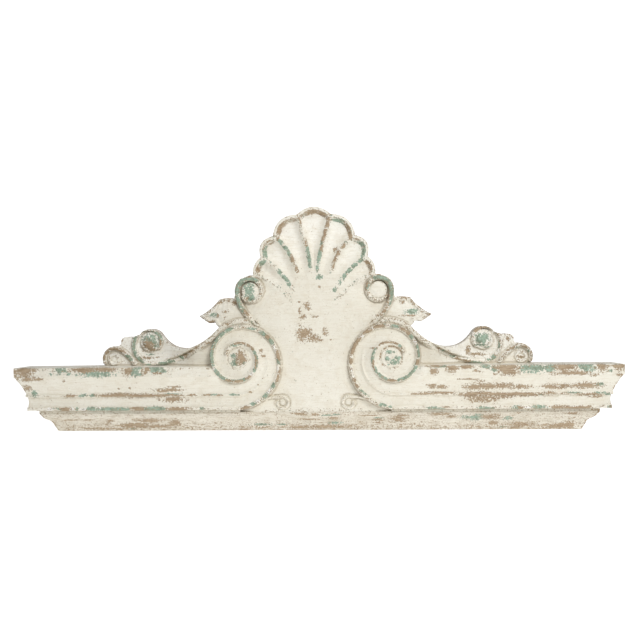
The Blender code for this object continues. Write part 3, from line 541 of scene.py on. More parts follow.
def leaf_polygon():
    """Outline of the leaf, running in under the ear and the band"""
    foot = volute_point(EAR_FOOT_TURN, EAR_FOOT_GAP)
    return np.concatenate((chain(LEAF_OUTLINE), [on_cornice(LEAF_OUTLINE[-1][:2])],
                           (volute_point(0.5), foot)))


def shell_relief(points, depth):
    """Hollow lobes between the ridges, inside the rim"""
    rim_gap, _ = nearest(shell_edge(), points)
    ridges = [nearest(path, points)[0] for path in shell_ridges()]
    flute = np.clip((np.min(ridges, axis=0) - SHELL_RIDGE) / SHELL_FLUTE, 0, 1)
    edge = smooth((rim_gap - SHELL_RIM) / SHELL_RIM_WALL)
    low, high = SHELL_FADE
    reach = np.hypot(points[:, 0] * SHELL_SPREAD, points[:, 1] - CORNICE_HEIGHT)
    fade = smooth((reach - low) / (high - low))
    return depth - SHELL_HOLLOW * flute * (2 - flute) * edge * fade


def volute_place(points):
    """Turn and radius of each point about the big volute's eye"""
    gap = points - VOLUTE
    turn = np.arctan2(-gap[:, 0], -gap[:, 1]) / (2 * math.pi) % 1
    return turn, np.hypot(gap[:, 0], gap[:, 1])


def volute_relief(points, depth):
    """Channels between the turns of the big volute, and its eye"""
    turn, radius = volute_place(points)
    rise_turns, rise_fronts = zip(*VOLUTE_RISE)
    outer, inner = turn_radii(turn)
    share = np.clip((radius - inner) / (outer - inner), 0, 1)
    fronts = [np.interp(turn + extra, rise_turns, rise_fronts) for extra in (0, 1)]
    channel = fronts[1] + (fronts[0] - fronts[1]) * share - VOLUTE_DISH_EDGE - (
        VOLUTE_DISH - VOLUTE_DISH_EDGE) * np.sin(math.pi * share)
    bead = np.clip(1 - abs(share - VOLUTE_BEAD_SHARE) / VOLUTE_BEAD_SPREAD, 0, 1)
    last, gone = VOLUTE_BEAD_TURNS
    channel += VOLUTE_BEAD * bead * (1 - smooth((turn - last) / (gone - last)))
    heights, depths = crown_profile()[:, 1], crown_profile()[:, 0]
    straight = np.interp(VOLUTE[1] - volute_radius(1) - share * (
        VOLUTE_RADIUS - volute_radius(1)), heights, depths)
    straight -= RUN_OUT_DEPTH * (1 - smooth((radius - inner) / RUN_OUT_WIDTH))
    channel = straight + (channel - straight) * smooth(turn / VOLUTE_ENTRY)
    core = fronts[1] - VOLUTE_DISH * smooth((inner - radius) / EYE_DISH_WALL)
    scroll = np.where(radius < inner, core, channel)
    plain = fronts[0] - VOLUTE_DISH * smooth((outer - radius) / EYE_DISH_WALL)
    scroll += (plain - scroll) * smooth((turn + 1 - VOLUTE_TURNS) / VOLUTE_END_FADE + 0.5)
    disc = smooth((EYE_DISC_RADIUS - radius) / EYE_DISC_WALL)
    dome = np.sqrt(np.clip(1 - (radius / EYE_DOME_RADIUS)**2, 0, 1))
    scroll += EYE_DISC_RISE * disc + EYE_DOME_RISE * dome
    return np.where(radius < outer, scroll, depth)


def run_out(points):
    """How far each point has run out against the big volute, from none to all"""
    turn, radius = volute_place(points)
    gap = (radius - volute_radius(np.where(turn > 0.5, turn, 1))) / RUN_OUT_WIDTH
    return (1 - smooth(gap)) * (points[:, 0] > VOLUTE_X)


def cornice_relief(points):
    """The crown moulding, run out softly against the big volutes"""
    profile = crown_profile()
    depth = np.interp(points[:, 1], profile[:, 1], profile[:, 0])
    return depth - RUN_OUT_DEPTH * run_out(points)


def cornice_step(points):
    """From the cornice to the board above it, a sharp ledge that softens by the big volute"""
    spread = COLLAR_REACH * run_out(points)
    return smooth((points[:, 1] - CORNICE_HEIGHT + spread) / (CREASE + 2 * spread))


def disc(points, depth, centre, radius, front, dome):
    """A round button with a domed top"""
    reach = np.hypot(*(points - centre).T)
    height = front + dome * np.sqrt(np.clip(1 - (reach / radius)**2, 0, 1))
    cover = 1 - np.clip((reach - radius) / WALL, 0, 1)
    return depth + (height - depth) * cover


def relief(points, strands):
    """Depth of the carved front at each point of the right half"""
    rim, ear, side, curl, thin = strands
    depth = board_depth(points)
    swept = side.path[BAND_POINTS:BAND_POINTS + SWEEP_POINTS]
    below = inside(np.concatenate((swept, ((swept[-1][0], 0), (VOLUTE_X, 0)))), points)
    bank = SCROLL_RISE * (1 - smooth(nearest(swept, points)[0] / SCROLL_BANK))
    reach = np.hypot(*(points - on_cornice(SCROLL_CENTRE)).T) - SCROLL_DISC_RADIUS
    bank -= (SCROLL_DISH + bank) * (1 - smooth(reach / SCROLL_BANK))
    depth = depth + np.where(below, -SPANDREL_STEP, bank)
    leaf_edge = leaf_polygon()
    rim_gap = nearest(leaf_edge[:-2], points)[0]
    leaf = leaf_depth(points) - LEAF_HOLLOW * smooth((rim_gap - LEAF_BORDER) / LEAF_BORDER)
    grown = np.concatenate((beside(leaf_edge[:-2], CREASE), leaf_edge[-2:]))
    depth = np.where(inside(grown, points), leaf, depth)
    step = cornice_step(points)
    cornice = cornice_relief(points)
    depth = cornice + (depth - cornice) * step
    body = inside(body_polygon(rim, ear), points)
    depth = np.where(body, shell_relief(points, field_depth(points)), depth)
    reach = np.hypot(*(points - on_cornice(EAR_CENTRE)).T)
    depth = depth + EAR_BED_RISE * np.clip((EAR_BED_RADIUS - reach) / WALL, 0, 1) * body
    depth = volute_relief(points, depth)
    for strand, share in ((thin, 1), (side, step), (curl, step), (ear, 1), (rim, 1)):
        cover, front = strand.cover(points)
        depth = depth + (front - depth) * cover * share
    buttons = (
        (on_cornice(EAR_CENTRE), EAR_DISC_RADIUS, BAND_DEPTH + FIELD_SWELL + EAR_BED_RISE,
         EAR_DISC_RISE),
        (on_cornice(SCROLL_CENTRE), SCROLL_DISC_RADIUS, BOARD_DEPTH + SCROLL_DISC_RISE, 0),
        (on_cornice(SCROLL_CENTRE), SCROLL_DOME_RADIUS, BOARD_DEPTH + SCROLL_DOME_FOOT,
         SCROLL_DOME_RISE),
        (on_cornice(CURL_EYE), CURL_RING_RADIUS, BOARD_DEPTH + CURL_RING_RISE, 0),
        (on_cornice(CURL_EYE), CURL_EYE_RADIUS, BOARD_DEPTH, CURL_EYE_RISE),
        (np.array(TENDRIL_CENTRE), TENDRIL_DISC_RADIUS, BAND_DEPTH + TENDRIL_DISC_RISE,
         TENDRIL_DISC_RISE),
    )
    for centre, radius, front, dome in buttons:
        depth = disc(points, depth, centre, radius, front, dome)
    return depth


# Lines that the surface is folded along

def cornice_lines():
    """The arrises of the crown moulding, from the volute to the end"""
    lines = []
    for depth, height in crown_profile()[1:]:
        reach = END_X + depth
        across = np.linspace(VOLUTE_X, reach, MOULDING_POINTS)
        lines.append(np.array([(x, height) for x in across]))
    across = np.linspace(VOLUTE_X, CURL_CENTRE[0], MOULDING_POINTS)
    return lines + [np.array([(x, CORNICE_HEIGHT + CREASE) for x in across])]


def volute_lines():
    """Rings of the channels and of the eye"""
    turns = np.linspace(0, 1, CHANNEL_POINTS + 2)[1:-1]
    outer, inner = turn_radii(turns)
    angle = 2 * math.pi * turns
    way = np.stack((-np.sin(angle), -np.cos(angle)), 1)
    bead = (VOLUTE_BEAD_SHARE - VOLUTE_BEAD_SPREAD, VOLUTE_BEAD_SHARE,
            VOLUTE_BEAD_SHARE + VOLUTE_BEAD_SPREAD)
    lines = [VOLUTE + way * (inner + share * (outer - inner))[:, None]
             for share in (*CHANNEL_SHARES, *bead)]
    rings = (EYE_DOME_RADIUS * DOME_RING_SHARE, EYE_DOME_RADIUS,
             EYE_DISC_RADIUS - EYE_DISC_WALL, EYE_DISC_RADIUS)
    return lines + [arc(VOLUTE, radius, 0, 360, RING_POINTS) for radius in rings]


def shell_lines():
    """The scalloped rim, the ridges and the bottoms of the lobes"""
    edge, ridges = shell_edge(), shell_ridges()
    lines = [beside(edge, SHELL_RIM), beside(edge, SHELL_RIM + SHELL_RIM_WALL)]
    for ridge in ridges:
        lines += [ridge, beside(ridge, SHELL_RIDGE), beside(ridge, -SHELL_RIDGE),
                  beside(ridge, SHELL_FLUTE / 2), beside(ridge, -SHELL_FLUTE / 2)]
    return lines


def leaf_lines():
    """The border and the hollow of the leaf"""
    edge = leaf_polygon()[:-2]
    lines = []
    for offset in (LEAF_BORDER, 2 * LEAF_BORDER):
        line = beside(edge, -offset)
        lines += runs_of(line, nearest(edge, line)[0] > LEAF_TRUE_SHARE * offset)
    return lines


def button_lines():
    """Rings of the round buttons"""
    lines = []
    for centre, radius in ((EAR_CENTRE, EAR_DISC_RADIUS), (SCROLL_CENTRE, SCROLL_DISC_RADIUS),
                           (SCROLL_CENTRE, SCROLL_DOME_RADIUS), (CURL_EYE, CURL_RING_RADIUS),
                           (CURL_EYE, CURL_EYE_RADIUS)):
        reaches = (radius * DOME_RING_SHARE, radius * BUTTON_RING_SHARE, radius + WALL)
        lines += [arc(on_cornice(centre), reach, 0, 360, RING_POINTS) for reach in reaches]
    reaches = (TENDRIL_DISC_RADIUS * DOME_RING_SHARE, TENDRIL_DISC_RADIUS + WALL)
    return lines + [arc(TENDRIL_CENTRE, reach, 0, 360, SMALL_RING_POINTS) for reach in reaches]


def above_foot(line):
    """Points above the joint with the bed moulding"""
    return line[:, 1] > JOINT_HEIGHT + CLEARANCE


def above_cornice(line):
    """Points clear of the top of the cornice"""
    return line[:, 1] > CORNICE_HEIGHT + 2 * CREASE


def beyond_volute(line):
    """Points outside the big volute's first turn"""
    turn, radius = volute_place(line)
    return radius > volute_radius(np.where(turn > 0.5, turn, 1)) + CLEARANCE


def runs_of(line, keep):
    """The stretches of a line whose points are kept"""
    runs, run = [], []
    for point, kept in zip(line, keep):
        if kept:
            run.append(point)
        elif run:
            runs.append(np.array(run))
            run = []
    return runs + [np.array(run)] if run else runs


def fold_lines(strands, outline):
    """Every fold, cut back where a band or a button lies over it or it leaves the outline"""
    closed = np.concatenate((outline, outline[:1]))
    corners = {tuple(np.round(point, 5)) for point in outline}
    rim, ear, side, curl, thin = strands
    body = body_polygon(rim, ear)

    groups = (
        (cornice_lines(), (rim,), beyond_volute),
        (shell_lines(), (ear, side, rim), lambda line: inside(body, line)),
        (leaf_lines(), (side, ear), lambda line: ~inside(body, line)),
        (volute_lines(), (side, ear, rim), lambda line: line[:, 1] > SOFFIT_HEIGHT),
        (thin.lines(), (rim,), above_foot),
        (side.lines(), (curl, ear, rim), above_cornice),
        (curl.lines(), (), above_cornice),
        (ear.lines(), (rim,), above_cornice),
        (rim.lines(), (), above_foot),
        (button_lines(), (), above_foot),
    )
    result = []
    for lines, covers, allowed in groups:
        for line in lines:
            tied = np.array([tuple(np.round(point, 5)) in corners for point in line])
            keep = inside(outline, line) & (nearest(closed, line)[0] > CLEARANCE) | tied
            keep &= allowed(line)
            for strand in covers:
                keep &= strand.cover(line)[0] < BURIED
            result += [run for run in runs_of(line, keep) if len(run) > 1]
    return result


# Fine surface and wear

WAVER = 0.0003
WAVER_SIZE = 0.022
BED_EASE = 0.0012
BED_ROW = 0.0022
BED_COLUMNS = 520
BED_RETURNS = 15
LIP = (0.0060, 0.0185)
LIP_FADE = 0.0015
RIDGE_WEAR = 0.0065
# The last cream of each set is the brown for painted shade and grime in creases and recesses
CROWN_CREAMS = ((238, 234, 221), (233, 228, 213), (218, 208, 187), (178, 165, 143))
# Painted shade: the bed's creams are a darker copy of the crown's, for the shade under the cornice's
# overhang
SHADED_BED_CREAMS = ((231, 225, 210), (222, 215, 198), (190, 176, 152), (160, 145, 120))
# Painted light in the recesses above the cornice
LIT_RECESS_CREAM = (253, 251, 243)
CHIP_WHITE = (244, 242, 235)
FLECK_BROWN = (176, 158, 130)
GREENS = ((128, 138, 117), (168, 190, 171))
WOODS = ((150, 128, 101), (188, 169, 143))
BED_THIN = 0.22
BED_LOW_THIN = 0.25
# The bed's edge wear, and its painted shade and grime in hollows, tell this much more strongly
BED_KEEN = 2.5
GROOVE_DEPTH = 0.0014
GROOVE_WIDTH = 0.0026
TENDRIL_GROOVE = 0.0024
TOP_WEAR = 0.12
SIDE_WEAR = 0.30
TOOL_MARK = 0.00035
TOOL_LENGTH = 0.017
TOOL_SEED = 11
CROWN_SEED = 3
BED_SEED = 5
LATTICE_SIZE = 4096
LATTICE_KEYS = (73, 179, 283)
LATTICE_SHIFT = 100
LEAF_WEAR = 0.013
EYE_RING_OUT = 0.0015
EYE_RING_HALF_WIDTH = 0.0025
PATCH_PEAK = 1.1
PATCH_FALL = 0.6
HOLLOW_SPREADS = 3
# Painted light: above the cornice, surfaces that lie less far forward than this depth are painted a
# paler cream, fully once they lie the fade further back
LIT_RECESS_DEPTH = 0.075
LIT_RECESS_FADE = 0.030
THIN_WEAR = {"rim": {"bare": 0.20, "green": 0.18}, "ear": {"bare": 0.25, "green": 0.25},
             "side": {"bare": 0.22, "green": 0.16}, "curl": {"bare": 0.24, "green": 0.20},
             "ring": {"bare": 0.30}, "lip": {"bare": 0.40, "green": 0.36},
             "ridge": {"bare": 0.22, "green": 0.22}, "leaf": {"bare": 0.30, "green": 0.22},
             "end": {"bare": 0.14, "green": 0.05}}

# Places where the cream paint has worn through, and three under the right small volute's ring whose
# brown is partly painted shade: x and height of each patch's middle, half its width and half its
# height, all in mm on the drawing
WEAR = {
    ("rim", "green"): (
        (-214, 262, 11, 7), (-232, 251, 11, 9), (-245, 234, 9, 11), (-253, 218, 7, 13),
        (-255, 201, 8, 15), (-255, 186, 7, 8), (-253, 174, 4, 4), (-242, 155, 11, 9),
        (-231, 144, 11, 9), (-218, 136, 11, 7), (-196, 138, 15, 4), (-178, 137, 13, 7),
        (-149, 160, 6, 10), (-144, 175, 6, 14), (-143, 189, 6, 14), (-146, 204, 6, 12),
        (-151, 215, 6, 6), (-158, 264, 13, 3), (-128, 252, 9, 8), (-117, 243, 9, 9), (-110, 232, 8, 9),
        (-92, 184, 6, 8), (-106, 121, 9, 7), (-126, 95, 10, 8), (-157, 77, 9, 6), (-210, 65, 11, 4),
        (173, 270, 4, 5), (204, 268, 13, 5), (240, 243, 7, 9), (258, 216, 5, 7), (260, 201, 4, 9),
        (253, 170, 7, 11), (244, 157, 8, 8), (232, 144, 11, 6), (219, 139, 10, 5), (208, 135, 5, 4),
        (177, 138, 10, 6), (164, 147, 7, 8), (153, 160, 5, 10), (144, 187, 5, 11), (146, 202, 5, 10),
        (152, 213, 3, 4), (214, 220, 5, 4), (120, 107, 8, 4), (127, 100, 6, 3), (136, 94, 4, 3),
        (171, 72, 11, 6), (189, 66, 6, 3),
    ),
    ("rim", "bare"): (
        (-250, 209, 3, 10), (-215, 136, 9, 3), (-192, 134, 11, 4), (-163, 142, 7, 6),
        (-141, 171, 2, 17), (-147, 180, 2, 17), (-177, 233, 22, 6), (-158, 226, 11, 6),
        (-150, 218, 6, 6), (-117, 244, 5, 7), (-92, 196, 6, 11), (-87, 156, 2, 10), (-92, 141, 3, 10),
        (-94, 134, 2, 4), (-174, 65, 11, 4), (160, 269, 14, 6), (224, 261, 10, 5), (233, 252, 5, 7),
        (256, 179, 6, 6), (193, 134, 10, 4), (146, 171, 3, 10), (167, 226, 9, 3), (183, 228, 16, 2),
        (203, 225, 6, 2), (132, 255, 12, 8), (110, 233, 8, 8), (103, 220, 8, 10), (96, 206, 6, 10),
        (93, 182, 6, 6), (102, 134, 7, 5), (106, 120, 6, 4), (113, 123, 4, 4), (249, 216, 3, 7),
    ),
    ("rim", "white"): (
        (-251, 163, 4, 6), (-157, 151, 4, 6), (-101, 218, 6, 6), (-97, 207, 5, 4), (-115, 109, 9, 8),
        (-145, 82, 8, 5), (-207, 134, 3, 4), (-94, 167, 5, 6), (182, 270, 8, 3), (147, 264, 5, 5),
        (120, 243, 6, 5), (94, 193, 6, 4), (251, 228, 5, 5), (150, 207, 3, 5), (155, 153, 2, 4),
        (212, 133, 3, 2), (260, 192, 2, 4), (94, 160, 6, 11), (98, 144, 4, 4),
    ),
    ("any", "bare"): (
        (-135, 208, 5, 5), (-129, 196, 5, 3), (-143, 123, 2, 2), (-163, 104, 3, 2),
        (-184, 192, 11, 17), (-188, 208, 4, 4), (-177, 190, 6, 11), (-187, 177, 7, 5),
        (-239, 333, 5, 3), (-257, 325, 5, 2), (-273, 315, 3, 2), (-246, 298, 4, 4), (-226, 308, 7, 4),
        (-227, 294, 3, 2), (-220, 277, 6, 3), (-264, 282, 8, 3), (-218, 335, 3, 3), (-203, 331, 5, 7),
        (295, 157, 10, 9), (294, 117, 11, 5), (276, 98, 29, 2), (145, 214, 5, 2), (239, 294, 21, 2),
        (287, 297, 6, 3), (294, 299, 4, 2), (221, 328, 6, 4), (176, 306, 5, 3), (159, 295, 6, 3),
        (269, 324, 3, 2), (54, 463, 6, 6), (14, 368, 3, 3), (-40, 331, 4, 2), (-19, 322, 8, 8),
        (-37, 308, 4, 8), (-30, 293, 8, 7), (2, 294, 8, 3), (-13, 313, 4, 4), (-169, 342, 4, 4),
        (-30, 250, 16, 18), (-4, 240, 15, 9), (27, 254, 6, 10), (12, 234, 9, 4), (42, 236, 4, 2),
        (-18, 254, 12, 9), (-431, 225, 15, 12), (-422, 212, 10, 3), (-435, 191, 15, 3),
        # The bare patches at (389, 206), (406, 195) and (423, 193) lie in the dish under the right
        # small volute's ring; their brown is worn paint and painted shade
        (-410, 192, 6, 2), (389, 206, 6, 9), (406, 195, 15, 4), (423, 193, 11, 3), (492, 234, 7, 6),
        (518, 188, 6, 3), (526, 185, 6, 3), (301, 170, 20, 2), (294, 156, 9, 9), (341, 161, 13, 9),
        (376, 167, 13, 5), (404, 154, 10, 3), (290, 119, 9, 5), (316, 116, 13, 5), (382, 135, 26, 2),
        (412, 130, 12, 2), (394, 115, 28, 7), (435, 116, 31, 7), (312, 101, 44, 3), (383, 94, 33, 3),
        (410, 86, 28, 5), (316, 44, 33, 4), (341, 37, 13, 5), (442, 39, 13, 5), (-736, 162, 24, 19),
        (-726, 142, 16, 7), (-700, 142, 16, 5), (-582, 165, 24, 7), (-527, 166, 24, 5),
        (-470, 159, 11, 9), (-426, 157, 7, 6), (-421, 166, 4, 4), (-393, 155, 13, 3),
        (-634, 137, 5, 3), (-732, 118, 9, 8), (-383, 110, 24, 4), (-469, 117, 3, 3), (-498, 116, 4, 2),
        (-624, 98, 13, 4), (-516, 98, 29, 5), (-437, 97, 67, 5), (-636, 31, 33, 2), (-595, 31, 16, 2),
        (-536, 27, 11, 5), (-488, 14, 25, 8), (-435, 29, 40, 7), (-449, 11, 54, 5), (-596, 6, 16, 3),
        (-529, 5, 68, 2), (-370, 112, 37, 4), (-358, 120, 20, 2), (-363, 87, 30, 7), (-399, 98, 50, 3),
        (-312, 98, 10, 3), (-275, 99, 10, 2), (-241, 97, 6, 2), (-497, 100, 46, 5), (-536, 27, 10, 6),
        (-436, 28, 33, 7), (-466, 17, 45, 7), (-411, 12, 38, 6), (-366, 22, 15, 12), (-571, 8, 36, 2),
        (-496, 15, 20, 7), (474, 162, 24, 9), (480, 152, 22, 8), (617, 161, 21, 10), (631, 149, 42, 5),
        (708, 164, 12, 11), (751, 163, 12, 10), (750, 143, 8, 3), (687, 143, 11, 3), (400, 156, 7, 3),
        (446, 148, 5, 2), (656, 148, 21, 4), (412, 117, 36, 8), (464, 117, 41, 7), (511, 115, 28, 6),
        (588, 115, 25, 6), (619, 115, 20, 6), (670, 117, 33, 8), (742, 110, 4, 3), (750, 123, 4, 2),
        (413, 100, 36, 3), (478, 95, 95, 5), (512, 97, 40, 4), (548, 94, 16, 3), (584, 100, 14, 3),
        (620, 96, 16, 2), (682, 94, 28, 3), (698, 88, 16, 3), (418, 83, 33, 7), (452, 88, 41, 4),
        (445, 35, 23, 9), (453, 18, 17, 5), (524, 14, 44, 6), (511, 7, 23, 4), (619, 9, 57, 8),
        (652, 12, 35, 9), (667, 31, 23, 3), (646, 44, 23, 4), (709, 53, 14, 2), (-39, 46, 22, 4),
        (-3, 44, 10, 4), (-21, 30, 26, 3), (45, 34, 16, 6), (18, 9, 88, 6), (-46, 8, 26, 5),
        (160, 28, 16, 4), (211, 31, 23, 9), (220, 41, 17, 4), (136, 41, 20, 2), (160, 20, 20, 2),
        (-143, 6, 19, 2), (-192, 3, 26, 2),
    ),
    ("any", "green"): (
        (-199, 182, 9, 9), (-201, 197, 10, 5), (-196, 175, 7, 4), (-178, 180, 6, 5), (-201, 223, 9, 3),
        (-186, 226, 9, 2), (-256, 300, 12, 5), (186, 204, 6, 4), (208, 189, 8, 5), (199, 178, 11, 6),
        (182, 187, 5, 5), (199, 204, 4, 2), (186, 173, 4, 2), (245, 303, 16, 6), (247, 308, 11, 3),
        (14, 394, 8, 6), (-164, 361, 12, 18), (-160, 343, 12, 9), (-427, 234, 19, 18),
        (-430, 200, 12, 2), (-417, 222, 7, 7), (426, 237, 17, 10), (422, 218, 13, 3), (439, 213, 7, 2),
        (422, 229, 15, 6), (303, 167, 19, 2), (323, 168, 5, 3), (421, 167, 11, 3), (445, 160, 7, 7),
        (396, 34, 29, 6), (495, 32, 7, 3), (-639, 163, 13, 8), (-666, 154, 4, 3), (-621, 154, 7, 2),
        (-553, 155, 44, 8), (-455, 159, 13, 11), (-444, 168, 11, 3), (-444, 153, 13, 3),
        (-400, 165, 16, 9), (-380, 160, 8, 5), (-717, 104, 8, 9), (-592, 99, 9, 4), (-566, 99, 9, 4),
        (-479, 6, 8, 3), (-364, 101, 20, 2), (-256, 99, 15, 2), (-208, 99, 12, 2), (-567, 98, 10, 3),
        (423, 168, 11, 5), (446, 158, 7, 7), (529, 162, 25, 8), (549, 160, 16, 8), (580, 161, 16, 8),
        (669, 162, 22, 10), (739, 165, 4, 4), (725, 154, 8, 3), (539, 151, 16, 2), (704, 119, 11, 5),
        (564, 95, 6, 3), (646, 99, 22, 2), (705, 98, 16, 3), (728, 95, 7, 3), (409, 34, 17, 9),
        (488, 31, 11, 5), (480, 7, 11, 2), (30, 42, 19, 2), (51, 44, 9, 2), (-143, 16, 26, 3),
        (-88, 16, 16, 2), (48, 20, 19, 3), (160, 34, 10, 2),
    ),
    ("ring", "bare"): (
        (192, 194, 31, 31),
    ),
    ("lip", "bare"): (
        (-2, 558, 18, 8), (18, 554, 18, 8), (34, 539, 12, 11), (82, 518, 12, 9), (90, 500, 9, 12),
        (-87, 514, 9, 18), (-81, 529, 8, 6), (-88, 494, 7, 6), (-143, 416, 11, 9), (-102, 424, 9, 4),
        (136, 430, 12, 6), (147, 418, 6, 8),
    ),
    ("lip", "green"): (
        (59, 536, 18, 9), (72, 525, 8, 9), (96, 509, 5, 17), (93, 492, 6, 6), (-122, 457, 9, 16),
        (-112, 435, 9, 6), (-128, 431, 18, 8), (119, 477, 14, 8), (127, 456, 8, 15), (119, 445, 8, 9),
    ),
    ("ridge", "bare"): (
        (36, 527, 6, 12), (27, 507, 6, 15), (22, 490, 4, 9), (21, 468, 5, 9), (-33, 537, 4, 13),
        (-18, 484, 5, 10), (-54, 438, 8, 12), (-41, 415, 9, 13), (76, 471, 8, 6), (61, 454, 6, 9),
        (52, 437, 8, 10), (50, 419, 5, 9),
    ),
    ("ridge", "green"): (
        (19, 481, 5, 12), (16, 452, 8, 18), (12, 438, 6, 12), (8, 417, 5, 9), (-13, 464, 6, 15),
        (-12, 441, 6, 18), (-11, 426, 5, 9), (-87, 485, 10, 8), (-75, 470, 9, 6), (-64, 453, 8, 9),
        (-58, 441, 6, 9), (-86, 410, 6, 9), (-73, 392, 9, 12), (-63, 376, 6, 9), (119, 433, 9, 6),
        (104, 422, 10, 8), (90, 410, 10, 8), (75, 396, 10, 8), (66, 380, 5, 8), (50, 359, 6, 8),
    ),
    ("ear", "green"): (
        (-186, 381, 15, 12), (-168, 390, 18, 6), (-149, 387, 12, 6), (-195, 361, 6, 18),
        (-193, 338, 6, 12), (-189, 320, 7, 12), (-179, 310, 7, 9), (161, 392, 18, 6),
        (178, 386, 15, 9), (190, 368, 9, 15), (195, 352, 7, 12), (194, 338, 6, 12), (135, 372, 7, 12),
        (191, 325, 5, 6),
    ),
    ("ear", "bare"): (
        (-168, 306, 9, 9), (175, 377, 9, 4), (125, 358, 5, 14), (132, 378, 4, 9), (185, 345, 3, 17),
        (175, 305, 6, 3), (160, 297, 5, 3),
    ),
    ("side", "green"): (
        (-467, 237, 6, 10), (-471, 222, 5, 15), (-468, 203, 6, 10), (-458, 188, 9, 9),
        (-450, 180, 5, 5), (-435, 174, 8, 2), (-390, 177, 15, 5), (-373, 182, 10, 4),
        (-345, 192, 8, 4), (-335, 202, 8, 2), (-400, 247, 9, 9), (-396, 234, 6, 10),
        (-410, 254, 10, 4), (-430, 259, 13, 2), (392, 231, 5, 9), (395, 242, 4, 5), (467, 218, 3, 11),
        (454, 186, 7, 6), (443, 180, 7, 3), (402, 175, 13, 2), (351, 189, 6, 2), (324, 206, 6, 2),
        (343, 192, 4, 2),
    ),
    ("side", "bare"): (
        (-333, 198, 9, 4), (-318, 209, 10, 5), (-301, 217, 8, 3), (-401, 228, 3, 8), (430, 259, 24, 5),
        (454, 249, 9, 7), (461, 239, 6, 8), (411, 254, 7, 5), (381, 176, 13, 3), (360, 183, 9, 3),
        (314, 212, 8, 3), (372, 180, 6, 2),
    ),
    ("side", "white"): (
        (-360, 188, 5, 3),
    ),
    ("curl", "bare"): (
        (-523, 214, 20, 4), (-504, 210, 13, 4), (-540, 206, 5, 6), (-548, 193, 2, 8),
        (-558, 184, 2, 7), (488, 205, 6, 3), (498, 209, 6, 3), (529, 212, 8, 2),
    ),
    ("curl", "green"): (
        (-485, 195, 8, 5), (-478, 188, 5, 5), (513, 211, 3, 2), (542, 200, 2, 5),
    ),
    ("fillet", "green"): (
        (296, 62, 16, 3), (319, 60, 6, 2), (426, 62, 18, 3), (-655, 64, 8, 3), (-607, 64, 4, 4),
        (-568, 64, 14, 5), (-505, 63, 42, 5), (-413, 64, 24, 5), (-513, 63, 46, 5), (-407, 63, 29, 5),
        (-287, 64, 6, 3), (419, 62, 11, 3), (505, 62, 11, 4), (559, 64, 16, 4), (732, 62, 6, 4),
    ),
    ("fillet", "bare"): (
        (329, 64, 7, 2), (-639, 64, 11, 5), (-450, 64, 16, 5), (-450, 63, 13, 5), (-350, 62, 25, 5),
        (512, 62, 6, 3), (608, 63, 17, 4), (647, 61, 17, 3), (668, 62, 17, 3), (735, 61, 3, 4),
    ),
    ("fillet", "white"): (
        (-623, 64, 7, 4), (-590, 64, 8, 4), (-549, 63, 6, 4), (-676, 64, 10, 4), (-551, 65, 6, 4),
        (532, 63, 16, 2), (714, 63, 8, 2),
    ),
}


# Crown carving

DROP = CORNICE_HEIGHT / 2
EDGE_ROUND = 0.0022
EDGE_LINE = 0.0009
EDGE_LINE_SHARE = 0.9
CREST_STEP = 0.003
FINE_BELOW_SHELL = 0.05
FINE_ROUND_VOLUTE = 0.01
PLAIN_FIELD_X = 0.11
GRID_CLEAR = 0.0009
POINTS_AT_ONCE = 4000
WALL_RINGS = 4
BACK_MERGE = 1e-7
SHARP_ANGLE = 38


def near(polylines, points, reach):
    """Whether each point is nearer than a reach to the points of the polylines"""
    known = np.concatenate(polylines)
    tree = KDTree(len(known))
    for i, point in enumerate(known):
        tree.insert((point[0], point[1], 0), i)
    tree.balance()
    return np.array([tree.find((x, z, 0))[2] < reach for x, z in points])


def resampled(line, step):
    """The polyline with points at most one step apart"""
    length = np.hypot(*np.diff(line, axis=0).T)
    run = np.concatenate(((0,), np.cumsum(length)))
    count = max(2, int(run[-1] / step) + 2)
    along = np.unique(np.concatenate((np.linspace(0, run[-1], count), run)))
    return np.stack((np.interp(along, run, line[:, 0]), np.interp(along, run, line[:, 1])), 1)


def lattice(points, size, seed):
    """Smooth value noise from -1 to 1 on points in space"""
    table = np.random.default_rng(seed).uniform(-1, 1, LATTICE_SIZE)
    place = points / size + LATTICE_SHIFT
    cell = np.floor(place).astype(int)
    part = smooth(place - cell)
    total = 0
    for corner in np.ndindex(*([2] * points.shape[1])):
        index = cell + corner
        key = (index * LATTICE_KEYS[:points.shape[1]]).sum(1) % LATTICE_SIZE
        weight = np.prod(np.where(corner, part, 1 - part), axis=1)
        total = total + table[key] * weight
    return total


def infill(outline, lines):
    """A fine grid over the carving and a wider one over plain ground, clear of the folds"""
    across = np.arange(FIELD_GRID / 2, END_X + TOP_DEPTH, FIELD_GRID)
    up = np.arange(JOINT_HEIGHT, CORNICE_HEIGHT + SHELL_TOP, FIELD_ROW)
    column, row = [index.ravel() for index in np.meshgrid(range(len(across)), range(len(up)))]
    grid = np.stack((across[column] + FIELD_GRID / 2 * (row % 2), up[row]), 1)
    reach = np.hypot(*(grid - VOLUTE).T)
    moulding = (grid[:, 1] < CORNICE_HEIGHT) & (reach > VOLUTE_RADIUS + RUN_OUT_WIDTH)
    shell = grid[:, 1] > CORNICE_HEIGHT + SHELL_FADE[0] - FINE_BELOW_SHELL
    field = moulding & (grid[:, 0] < VOLUTE_X) | (
        ~moulding & ~shell & (reach > VOLUTE_RADIUS + FINE_ROUND_VOLUTE)
        & (grid[:, 0] < PLAIN_FIELD_X))
    keep = np.where(field, (column % 2 == 0) & (row % 2 == 0), True)
    keep &= np.where(moulding & ~field, column % 3 == 0, True)
    grid = grid[keep]
    grid = grid[inside(outline, grid)]
    return grid[~near([outline, *lines], grid, GRID_CLEAR)]


